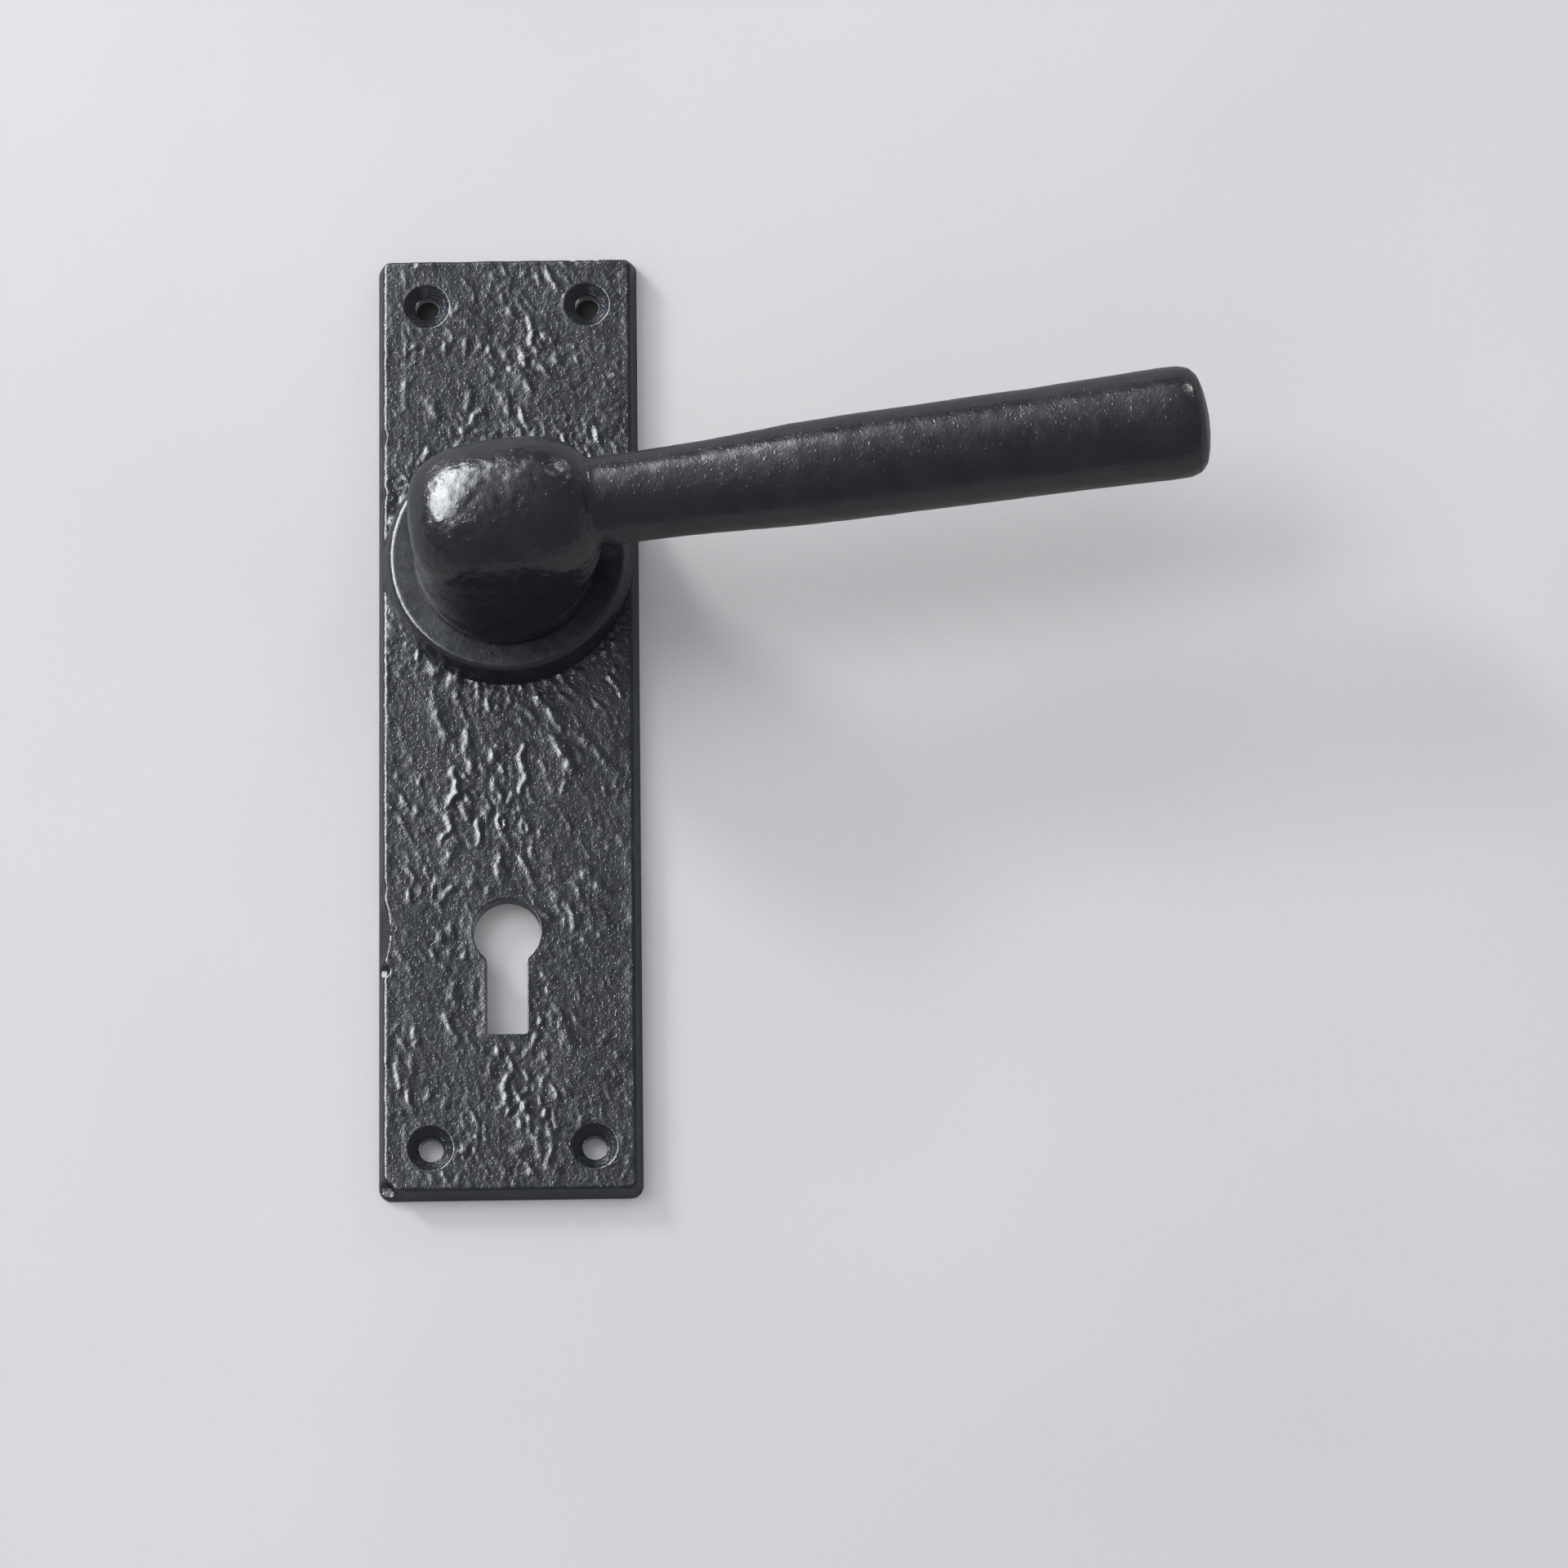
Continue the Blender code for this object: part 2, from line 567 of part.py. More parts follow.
def make_cover(material):
    spindle = (0.0, 0.0, SPINDLE_Z)
    outlines = [cover_outline(0.0), circle(COVER_INNER_RADIUS, 56)]
    cover = flat_piece("rear_cover", outlines, *COVER_HEIGHTS, location=spindle)
    low, high = COVER_SCREW_HEAD_HEIGHTS
    sink = ((0.0, high + 0.001), (COVER_SCREW_RADIUS + SCREW_GAP, high + 0.001),
            (COVER_SCREW_RADIUS + SCREW_GAP, high), (COVER_SCREW_HEAD + SCREW_GAP, low),
            (COVER_SCREW_HEAD + SCREW_GAP, -0.001), (0.0, -0.001))
    for side in (-1, 1):
        place = (0.0, 0.0, SPINDLE_Z + side * COVER_SCREW_CIRCLE)
        combine(cover, turned("cover_sink_cutter", sink, steps=28, location=place), 'DIFFERENCE')
    return finish(settle(cover), material)


def make_cover_screw(name, side, material):
    """A small countersunk screw, driven in from the back, with a straight slot."""
    low, high = COVER_SCREW_HEAD_HEIGHTS
    place = (0.0, 0.0, SPINDLE_Z + side * COVER_SCREW_CIRCLE)
    profile = ((0.0, COVER_SCREW_LENGTH), (0.0007, COVER_SCREW_LENGTH),
               (COVER_SCREW_RADIUS, COVER_SCREW_LENGTH - 0.0006), (COVER_SCREW_RADIUS, high),
               (COVER_SCREW_HEAD, low), (0.0, low))
    screw = turned(name, profile, steps=28, location=place)
    length, width, depth = COVER_SCREW_SLOT
    slot = block("screw_slot_cutter", (length + 0.002, 2 * depth, width), (0.0, -low, place[2]))
    combine(screw, slot, 'DIFFERENCE')
    return finish(settle(screw), material)


# ---- Assembly --------------------------------------------------------------------------------

clear_scene()
PARTS = new_collection("lever_lock_handle")
CUTTERS = new_collection("cutters")

black_iron = make_material("black_iron", (0.022, 0.026, 0.030), 0.1, 0.38)
plated_steel = make_material("plated_steel", (0.55, 0.55, 0.52), 1.0, 0.35)
spring_steel = make_material("spring_steel", (0.28, 0.28, 0.30), 1.0, 0.30)
white_nylon = make_material("white_nylon", (0.75, 0.74, 0.70), 0.0, 0.45)

lever_pivot = bpy.data.objects.new("lever_pivot", None)
lever_pivot.location = (0.0, 0.0, SPINDLE_Z)
lever_pivot.rotation_euler = (0.0, -LEVER_ANGLE, 0.0)
PARTS.objects.link(lever_pivot)

make_backplate(black_iron)
make_bush(white_nylon)
up_stop_angle, down_stop_angle = stop_angles()
anchor_angle = spring_leg_angles()[0] - leg_offset()
make_pin("up_stop_pin", STOP_PIN_RADIUS, STOP_PIN_HEIGHTS, up_stop_angle, plated_steel)
make_pin("down_stop_pin", STOP_PIN_RADIUS, STOP_PIN_HEIGHTS, down_stop_angle, plated_steel)
make_pin("spring_anchor_pin", SPRING_PIN_RADIUS, ANCHOR_PIN_HEIGHTS, anchor_angle, plated_steel)
make_spring(spring_steel)
make_cover(plated_steel)
make_cover_screw("cover_screw_upper", 1, plated_steel)
make_cover_screw("cover_screw_lower", -1, plated_steel)

make_lever(lever_pivot, black_iron)
finish(ring("front_washer", *FRONT_WASHER, lever_pivot), white_nylon)
make_cam(lever_pivot, plated_steel)
make_post(lever_pivot, plated_steel)
finish(ring("shim_washer", *SHIM_WASHER, lever_pivot), plated_steel)
make_circlip(lever_pivot, spring_steel)
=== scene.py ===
"""Looks of the lever lock handle: hammered cast iron under satin black lacquer.

The CAD model gives every place and size. The two castings and the spring are rebuilt
finer around it, and the small parts keep their CAD shapes and get bevels and finishes.
In the frame, +Z runs up the plate, +X towards the lever's tip, and the front faces -Y.
A height is a distance in front of the door, along -Y. Lengths are in metres.
"""
import json
import math

import bmesh
import bpy
import numpy as np
from mathutils import Matrix, Vector


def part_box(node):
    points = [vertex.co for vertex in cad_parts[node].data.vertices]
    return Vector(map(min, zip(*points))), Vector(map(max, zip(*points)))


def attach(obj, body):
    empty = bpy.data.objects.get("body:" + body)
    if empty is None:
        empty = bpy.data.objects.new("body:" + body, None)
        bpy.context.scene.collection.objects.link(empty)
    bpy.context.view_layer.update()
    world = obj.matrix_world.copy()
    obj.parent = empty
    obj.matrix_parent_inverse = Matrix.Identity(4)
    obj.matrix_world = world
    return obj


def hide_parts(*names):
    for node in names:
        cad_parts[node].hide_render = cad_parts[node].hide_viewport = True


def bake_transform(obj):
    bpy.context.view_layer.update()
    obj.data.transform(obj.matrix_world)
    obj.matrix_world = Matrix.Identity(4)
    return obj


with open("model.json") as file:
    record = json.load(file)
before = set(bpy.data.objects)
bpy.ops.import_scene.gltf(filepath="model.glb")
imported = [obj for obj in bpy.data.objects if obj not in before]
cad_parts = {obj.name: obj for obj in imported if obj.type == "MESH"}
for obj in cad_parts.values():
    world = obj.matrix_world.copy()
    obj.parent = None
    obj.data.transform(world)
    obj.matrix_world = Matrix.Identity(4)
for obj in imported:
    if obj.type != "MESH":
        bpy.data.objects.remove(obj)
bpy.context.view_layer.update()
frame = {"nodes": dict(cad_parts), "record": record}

MM = 0.001

# Backplate: the CAD box gives its width and length
PLATE_LOW, PLATE_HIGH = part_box("backplate")
HALF_WIDTH = PLATE_HIGH.x
HALF_LENGTH = PLATE_HIGH.z
PLATE_THICKNESS = 4.0 * MM
SIDE_DRAFT = 0.9 * MM
EDGE_RADIUS = 0.7 * MM
CORNER_RADIUS = 2.0 * MM
GRID_CELL = 0.30 * MM
EDGE_CELL = 0.16 * MM
GRID_EDGE_TURN = math.radians(50)

# Rose
BUSH_LOW, BUSH_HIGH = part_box("bearing_bush")
SPINDLE_Z = (BUSH_LOW.z + BUSH_HIGH.z) / 2
ROSE_HEIGHT = -PLATE_LOW.y
ROSE_FLAT_RADIUS = 17.6 * MM
ROSE_RIM_RADIUS = 1.15 * MM
ROSE_BASE_RADIUS = 19.85 * MM
ROSE_STEPS = 288

# Holes
SCREW_PLACES = [(x + side * 12.7 * MM, z)
                for x, z in ((0.0, 67.7 * MM), (0.4 * MM, -68.4 * MM)) for side in (-1, 1)]
SCREW_HOLE_RADIUS = 1.9 * MM
COUNTERSINK_RADIUS = 3.5 * MM
COUNTERSINK_DEPTH = 1.5 * MM
KEYHOLE_CENTRE = (-0.4 * MM, -34.2 * MM)
KEYHOLE_RADIUS = 5.3 * MM
KEY_SLOT_HALF_WIDTH = 3.2 * MM
KEY_SLOT_END = -50.5 * MM
KEY_SLOT_CORNER = 0.6 * MM

# Lever
LEVER_ANGLE = math.radians(7.2)
LEVER_AXIS_HEIGHT = 32.0 * MM
LEVER_CELL = 0.36 * MM
# The space round the shank and in its socket: the CAD lever is taken away from it, and the rest is cut out
SHANK_REACH = 8.6 * MM
SHANK_SPACE_TOP = 8.9 * MM
SOCKET_RADIUS = 6.4 * MM
SOCKET_LOW = 9.1 * MM
SOCKET_TOP = 26.4 * MM
# Heights between which the head's front takes on its relief, and how far the whole skin is sunk
HEAD_TOP_START = 27.0 * MM
HEAD_TOP_END = 28.0 * MM
SETTLE_IN = 0.075 * MM

# The hollow behind the rose: the CAD casting is taken away from these two solids, and the rest is cut out
CAVITY_RADIUS = 18.0 * MM
CAVITY_DEPTH = 8.0 * MM
EAR_REACH = 21.6 * MM
EAR_DEPTH = 3.1 * MM
# The bore through the rose, which is cut as it is
BORE_RADIUS = 9.25 * MM
BORE_LOW = 6.0 * MM
BORE_TOP = 10.0 * MM
# The round tools that do the cutting, and the wall that they leave at the plate's sides
TOOL_CORE = 2.0 * MM
TOOL_STEPS = 96
SIDE_WALL = 1.4 * MM

# The direction in which the casting's streaks run: down to the right, steeply
STREAK_ANGLE = math.radians(-63)

# Small parts' edges, and the mesh work
SOFT_EDGE_WIDTH = 0.06 * MM
SOFT_EDGE_ANGLE = math.radians(40)
WELD_GAP = 0.002 * MM
IN_PLANE = (np.array([1.0, 0, 0]), np.array([0, 0, 1.0]))

# Camera: it looks up at the handle a little from below
CAMERA_PLACE = (0.0524, -1.2027, -0.3067)
CAMERA_TURN = (1.8125, 0.0122, 0.0108)
CAMERA_LENS = 181.3

# Lights
KEY_PLACE = (-0.82, -0.60, 0.74)
KEY_TARGET = (0.0, 0.0, 0.01)
KEY_SIZE = (0.22, 0.25)
KEY_COLOR = (1.0, 0.99, 0.975)
PANEL_SIZE = (1.5, 2.15)
PANEL_COLOR = (0.92, 0.965, 1.0)
PANEL_DIM_SIDE = 0.028

# Ridges that stand out on the plate: points (x, z), half width and height, in millimetres
RIDGES = (
    (((3.7, 65.6), (4.2, 63.2), (4.1, 61.6)), 0.50, 0.24),
    (((5.2, 63.6), (6.3, 62.0)), 0.40, 0.15),
    (((2.2, 60.4), (3.1, 59.2), (2.7, 57.6)), 0.50, 0.20),
    (((1.4, 57.2), (2.4, 55.6), (3.6, 53.7)), 0.85, 0.24),
    (((-0.9, 52.8), (0.1, 51.2), (0.9, 50.3)), 0.60, 0.20),
    (((2.0, 50.5), (2.6, 48.9), (3.2, 47.6)), 0.45, 0.20),
    (((-6.7, 54.4), (-5.7, 52.9)), 0.60, 0.18),
    (((-12.0, 51.8), (-11.3, 49.9)), 0.90, 0.20),
    (((-14.8, 61.2), (-14.1, 60.8)), 0.45, 0.20),
    (((-4.6, 50.0), (-5.2, 48.4), (-7.0, 47.2)), 0.50, 0.20),
    (((-11.2, 2.2), (-10.9, 0.2), (-9.6, -2.4)), 1.00, 0.22),
    (((-8.6, -8.6), (-8.0, -12.0), (-9.9, -14.2), (-8.8, -17.4), (-10.5, -19.2)), 0.52, 0.30),
    (((-6.4, -1.9), (-6.7, -4.4), (-5.4, -8.8)), 0.65, 0.17),
    (((2.6, -4.0), (2.0, -6.2), (2.9, -9.2), (2.0, -11.6)), 0.50, 0.25),
    (((5.0, 3.2), (6.6, 1.0), (8.4, -1.4)), 0.60, 0.20),
    (((7.2, -3.0), (8.9, -5.8), (9.7, -8.2)), 0.75, 0.27),
    (((11.9, -3.4), (14.4, -6.2)), 0.55, 0.16),
    (((15.2, -7.4), (17.4, -9.6)), 0.75, 0.18),
    (((9.0, -10.4), (8.5, -12.2)), 0.45, 0.18),
    (((-4.6, -16.9), (-4.9, -20.4)), 0.48, 0.28),
    (((-2.2, -10.4), (-1.2, -12.6)), 0.50, 0.22),
    (((0.7, -12.6), (-0.2, -14.2)), 0.45, 0.20),
    (((-6.9, -14.2), (-6.2, -16.2)), 0.60, 0.20),
    (((-9.2, -20.4), (-8.8, -22.0)), 0.70, 0.20),
    (((-1.4, -22.0), (-1.2, -25.6)), 0.60, 0.20),
    (((2.2, -22.6), (3.2, -25.4), (4.2, -27.2)), 0.60, 0.18),
    (((12.0, -25.0), (15.6, -28.2)), 0.70, 0.16),
    (((-9.0, -27.4), (-10.6, -29.4)), 0.60, 0.15),
    (((-8.6, -42.6), (-8.0, -45.4)), 0.60, 0.17),
    (((-9.6, -47.2), (-8.2, -51.6)), 0.65, 0.20),
    (((-15.0, -50.0), (-14.2, -51.6)), 0.60, 0.18),
    (((-17.4, -55.0), (-16.0, -58.2)), 0.80, 0.16),
    (((-0.4, -57.2), (-0.6, -59.6), (-0.2, -62.4)), 0.52, 0.25),
    (((2.1, -60.0), (0.3, -62.2)), 0.45, 0.22),
    (((2.4, -61.6), (3.0, -63.6), (5.6, -65.0)), 0.55, 0.21),
    (((4.4, -66.4), (4.8, -69.8)), 0.45, 0.16),
    (((6.6, -68.2), (6.2, -70.6)), 0.45, 0.20),
    (((8.2, -49.4), (9.8, -52.6)), 0.60, 0.16),
    (((9.2, -30.4), (10.2, -33.4)), 0.55, 0.17),
)
# Ringed pits: centre x and z, half width, half length, height of the rim, in millimetres
PITS = ((-1.1, -16.7, 0.55, 1.05, 0.24), (2.5, -17.6, 0.50, 0.95, 0.18), (13.4, 46.4, 0.8, 1.6, 0.14))
# Places where the front edge is chipped: x, z, reach along X and Z, depth, in millimetres
CHIPS = ((-19.9, 46.2, 1.0, 1.6, 0.35), (-19.9, 36.8, 0.9, 1.3, 0.40), (-19.9, -26.9, 0.9, 1.5, 0.30),
         (-19.9, -40.0, 1.5, 1.3, 1.35), (-19.7, -33.8, 1.2, 5.6, 0.60), (-20.5, -76.0, 3.3, 3.3, 1.45),
         (10.5, 75.3, 0.6, 0.4, 0.25), (12.4, 75.4, 0.7, 0.4, 0.22), (14.2, 75.3, 0.5, 0.4, 0.25),
         (-14.9, 74.6, 0.7, 0.5, 0.20), (19.8, -21.0, 0.6, 1.2, 0.20), (-17.2, -75.6, 1.4, 0.7, 0.50))
# How far a chip goes back and in from a side or an end, as shares of its depth, and which chips are
# near enough to a side or an end to go in, in millimetres from the middle
CHIP_SIDE_SHARE = 0.75
CHIP_END_SHARE = 0.55
CHIP_SIDE_X = 18.5
CHIP_END_Z = 74.0


# ---- Noise and outlines ------------------------------------------------------------------------

def scatter(cells, seed):
    """A fixed number from -1 to 1 for each whole-numbered cell."""
    mixed = (cells @ np.array([374761393, 668265263, 1442695041]) + seed * 974634777) & 0xFFFFFFFF
    mixed = ((mixed ^ (mixed >> 13)) * 1274126177) & 0xFFFFFFFF
    mixed = ((mixed ^ (mixed >> 16)) * 2246822519) & 0xFFFFFFFF
    return ((mixed ^ (mixed >> 15)) & 0xFFFFFF) / 8388607.5 - 1.0


def grain(points, size, seed):
    """Smooth noise, mostly between -1 and 1, whose bumps are about size wide."""
    place = points / size + 100.0 + 7.3 * seed
    cell = np.floor(place).astype(np.int64)
    part = place - cell
    ease = part ** 3 * (part * (part * 6 - 15) + 10)
    total = np.zeros(len(points))
    for corner in np.ndindex(2, 2, 2):
        at = cell + np.array(corner)
        away = part - np.array(corner)
        slope = sum(scatter(at, 3 * seed + axis) * away[:, axis] for axis in range(3))
        share = np.where(corner, ease, 1.0 - ease)
        total += slope * share.prod(axis=1)
    return total * 1.9


def ramp(values, low, high):
    """0 below low, 1 above high, and a smooth step between them."""
    part = np.clip((values - low) / (high - low), 0.0, 1.0)
    return part * part * (3.0 - 2.0 * part)


def in_streaks(points, width, length):
    """Points turned and stretched, so that round noise on them makes streaks of that shape."""
    along = np.array([math.cos(STREAK_ANGLE), 0.0, math.sin(STREAK_ANGLE)])
    across = np.array([-along[2], 0.0, along[0]])
    return np.stack([points @ across / width, points[:, 1] / width, points @ along / length], axis=1)


def rounded_box(points, half_x, half_z, corner):
    """Distance inside a rounded rectangle's outline, in XZ. It is negative outside."""
    over = np.abs(points[:, [0, 2]]) - np.array([half_x - corner, half_z - corner])
    outside = np.linalg.norm(np.maximum(over, 0.0), axis=1)
    return corner - outside - np.minimum(over.max(axis=1), 0.0)


def beyond_circle(points, centre, radius):
    """Distance outside a circle in XZ."""
    return np.hypot(points[:, 0] - centre[0], points[:, 2] - centre[1]) - radius


def beyond_keyhole(points):
    """Distance outside the keyhole: a circle with a slot below it."""
    circle = beyond_circle(points, KEYHOLE_CENTRE, KEYHOLE_RADIUS)
    middle = (KEYHOLE_CENTRE[1] + KEY_SLOT_END) / 2
    shifted = points - np.array([KEYHOLE_CENTRE[0], 0.0, middle])
    half_length = (KEYHOLE_CENTRE[1] - KEY_SLOT_END) / 2
    slot = -rounded_box(shifted, KEY_SLOT_HALF_WIDTH, half_length, KEY_SLOT_CORNER)
    return np.minimum(circle, slot)


def onto_outline(points, distance, steps=6):
    """Moves points in XZ until their distance from an outline is nothing."""
    nudge = 0.01 * MM
    for _ in range(steps):
        here = distance(points)
        slope = np.stack([distance(points + axis * nudge) - here for axis in IN_PLANE], axis=1) / nudge
        slope /= np.maximum(np.linalg.norm(slope, axis=1, keepdims=True), 0.3)
        points = points.copy()
        points[:, [0, 2]] -= slope * here[:, None]
    return points


# ---- Mesh building --------------------------------------------------------------------------------

class Skin:
    """Vertices and faces gathered row by row, before they become a mesh."""

    def __init__(self, points, faces):
        self.points = points
        self.faces = [faces]

    def add_row(self, loop, points):
        """Joins an open loop to a new row of points, one for each of its vertices."""
        new = np.arange(len(points)) + len(self.points)
        self.points = np.concatenate([self.points, points])
        after, new_after = np.roll(loop, -1), np.roll(new, -1)
        self.faces.append(np.stack([after, loop, new, new_after], axis=1))
        return new


def open_loops(faces):
    """The closed chains of vertices along a sheet's open edges."""
    sides = np.concatenate([faces[:, [k, (k + 1) % 4]] for k in range(4)])
    known = {(int(a), int(b)) for a, b in sides}
    following = {a: b for a, b in known if (b, a) not in known}
    loops = []
    while following:
        first, at = following.popitem()
        loop = [first]
        while at != first:
            loop.append(at)
            at = following.pop(at)
        loops.append(np.array(loop))
    return loops


def graded(half):
    """Grid lines from -half to half, closer together near the ends."""
    fine = [half - EDGE_CELL * i for i in range(7)]
    inner = fine[-1]
    count = round(2 * inner / GRID_CELL)
    middle = np.linspace(-inner, inner, count + 1)
    return np.concatenate([-np.array(fine), middle[1:-1], fine[::-1]])


def to_object(name, points, faces):
    mesh = bpy.data.meshes.new(name)
    mesh.from_pydata(points.tolist(), [], [f.tolist() for group in faces for f in group])
    mesh.update()
    obj = bpy.data.objects.new(name, mesh)
    bpy.context.scene.collection.objects.link(obj)
    return obj


def get_points(mesh):
    points = np.empty(len(mesh.vertices) * 3)
    mesh.vertices.foreach_get("co", points)
    return points.reshape(-1, 3)


def set_points(mesh, points):
    mesh.vertices.foreach_set("co", points.astype(np.float32).ravel())
    mesh.update()


def get_normals(mesh):
    normals = np.empty(len(mesh.vertices) * 3)
    mesh.vertex_normals.foreach_get("vector", normals)
    return normals.reshape(-1, 3)


def welded_copy(node, name):
    """A closed copy of a CAD node's mesh, whose corners share their vertices."""
    mesh = frame["nodes"][node].data.copy()
    bm = bmesh.new()
    bm.from_mesh(mesh)
    bmesh.ops.remove_doubles(bm, verts=bm.verts, dist=WELD_GAP)
    bm.to_mesh(mesh)
    bm.free()
    if "custom_normal" in mesh.attributes:
        mesh.attributes.remove(mesh.attributes["custom_normal"])
    mesh.materials.clear()
    obj = bpy.data.objects.new(name, mesh)
    bpy.context.scene.collection.objects.link(obj)
    return obj


def applied(obj):
    """Makes an object's modifiers part of its mesh."""
    view = obj.evaluated_get(bpy.context.evaluated_depsgraph_get())
    mesh = bpy.data.meshes.new_from_object(view)
    obj.modifiers.clear()
    obj.data = mesh
    return obj


def combine(obj, tool, operation):
    """Joins or cuts two closed meshes. The tool is used up."""
    change = obj.modifiers.new(tool.name, 'BOOLEAN')
    change.operation = operation
    change.solver = 'MANIFOLD'
    change.object = tool
    applied(obj)
    bpy.data.objects.remove(tool, do_unlink=True)
    return obj


def turned(name, profile, steps, centre):
    """A closed solid turned about the spindle's direction, from (radius, height) points on its skin."""
    angles = 2 * math.pi * np.arange(steps) / steps
    rows = []
    for radius, height in profile:
        rows.append(np.stack([centre[0] + radius * np.cos(angles), np.full(steps, -height),
                              centre[1] + radius * np.sin(angles)], axis=1))
    skin = Skin(rows[0], np.zeros((0, 4), int))
    loop = np.arange(steps)[::-1]
    first = loop
    for row in rows[1:]:
        loop = skin.add_row(loop, row[::-1])
    quads = [list(map(int, f)) for group in skin.faces for f in group]
    ends = [list(map(int, first[::-1])), list(map(int, loop))]
    mesh = bpy.data.meshes.new(name)
    mesh.from_pydata(skin.points.tolist(), [], quads + ends)
    obj = bpy.data.objects.new(name, mesh)
    bpy.context.scene.collection.objects.link(obj)
    face_outwards(obj)
    return obj


def disc(name, radius, low, high, core=TOOL_CORE):
    """A round tool on the spindle's axis. core is the radius of the cap in the middle of each end."""
    profile = ((core, low), (radius, low), (radius, high), (core, high))
    return turned(name, profile, TOOL_STEPS, (0.0, SPINDLE_Z))


def face_outwards(obj):
    bm = bmesh.new()
    bm.from_mesh(obj.data)
    bmesh.ops.recalc_face_normals(bm, faces=bm.faces)
    bm.to_mesh(obj.data)
    bm.free()


# ---- The plate's hammered surface ------------------------------------------------------------------

def stroke(points, line, half_width, height):
    """A rounded ridge along a line of (x, z) points, in millimetres."""
    flat = points[:, [0, 2]] / MM
    nearest = np.full(len(points), 1e9)
    for start, end in zip(np.array(line), np.array(line)[1:]):
        run = end - start
        part = np.clip((flat - start) @ run / (run @ run), 0.0, 1.0)
        nearest = np.minimum(nearest, np.linalg.norm(flat - start - part[:, None] * run, axis=1))
    return height * MM * np.exp(-(nearest / half_width) ** 2)


def ringed_pit(points, x, z, half_width, half_length, height):
    """A small crater with a raised rim, leaning a little the way the streaks do."""
    flat = points[:, [0, 2]] / MM - np.array([x, z])
    lean = math.radians(12)
    across = (flat @ np.array([math.cos(lean), math.sin(lean)])) / half_width
    along = (flat @ np.array([-math.sin(lean), math.cos(lean)])) / half_length
    reach = np.hypot(across, along)
    rim = np.exp(-((reach - 1.0) / 0.42) ** 2)
    return height * MM * (rim - 0.5 * np.exp(-(reach / 0.6) ** 2))


def hammered(points):
    """How far the cast surface stands proud of the plate's flat face."""
    bent = points.copy()
    bent[:, 0] += 1.3 * MM * grain(points, 7 * MM, 1)
    bent[:, 2] += 1.0 * MM * grain(points, 6 * MM, 2)
    streaks = in_streaks(bent, 1.0, 2.3)
    from_rose = beyond_circle(points, (0.0, SPINDLE_Z), ROSE_BASE_RADIUS)
    near_rose = np.exp(-(np.maximum(from_rose, 0.0) / (3.2 * MM)) ** 2)
    patches = ramp(grain(points, 9 * MM, 3), -0.35, 0.45)
    middle = np.exp(-((points[:, 0] - 1.5 * MM) / (10 * MM)) ** 2)
    rough = 0.22 + 0.60 * patches + 0.38 * middle + 0.6 * near_rose
    swell = 0.11 * MM * grain(in_streaks(points, 1.0, 1.6), 8 * MM, 4)
    ridged = (1.0 - np.abs(grain(streaks, 2.4 * MM, 5))) ** 5
    lumps = np.maximum(grain(streaks, 1.05 * MM, 6) - 0.12, 0.0)
    pebbles = grain(bent, 0.85 * MM, 7)
    fine = grain(points, 0.60 * MM, 8)
    relief = swell + rough * MM * (0.040 * ridged + 0.330 * lumps + 0.065 * pebbles) + 0.022 * MM * fine
    beads = np.maximum(grain(points, 1.0 * MM, 9), 0.0) * near_rose
    relief += 0.16 * MM * beads
    near = points.copy()
    near[:, 0] += 0.45 * MM * grain(points, 1.8 * MM, 14)
    near[:, 2] += 0.45 * MM * grain(points, 1.8 * MM, 15)
    bumps = np.zeros(len(points))
    for line, half_width, height in RIDGES:
        bumps = np.maximum(bumps, stroke(near, line, half_width, height))
    relief += bumps * (0.95 + 0.55 * grain(points, 1.5 * MM, 16))
    for pit in PITS:
        relief += ringed_pit(points, *pit)
    return relief


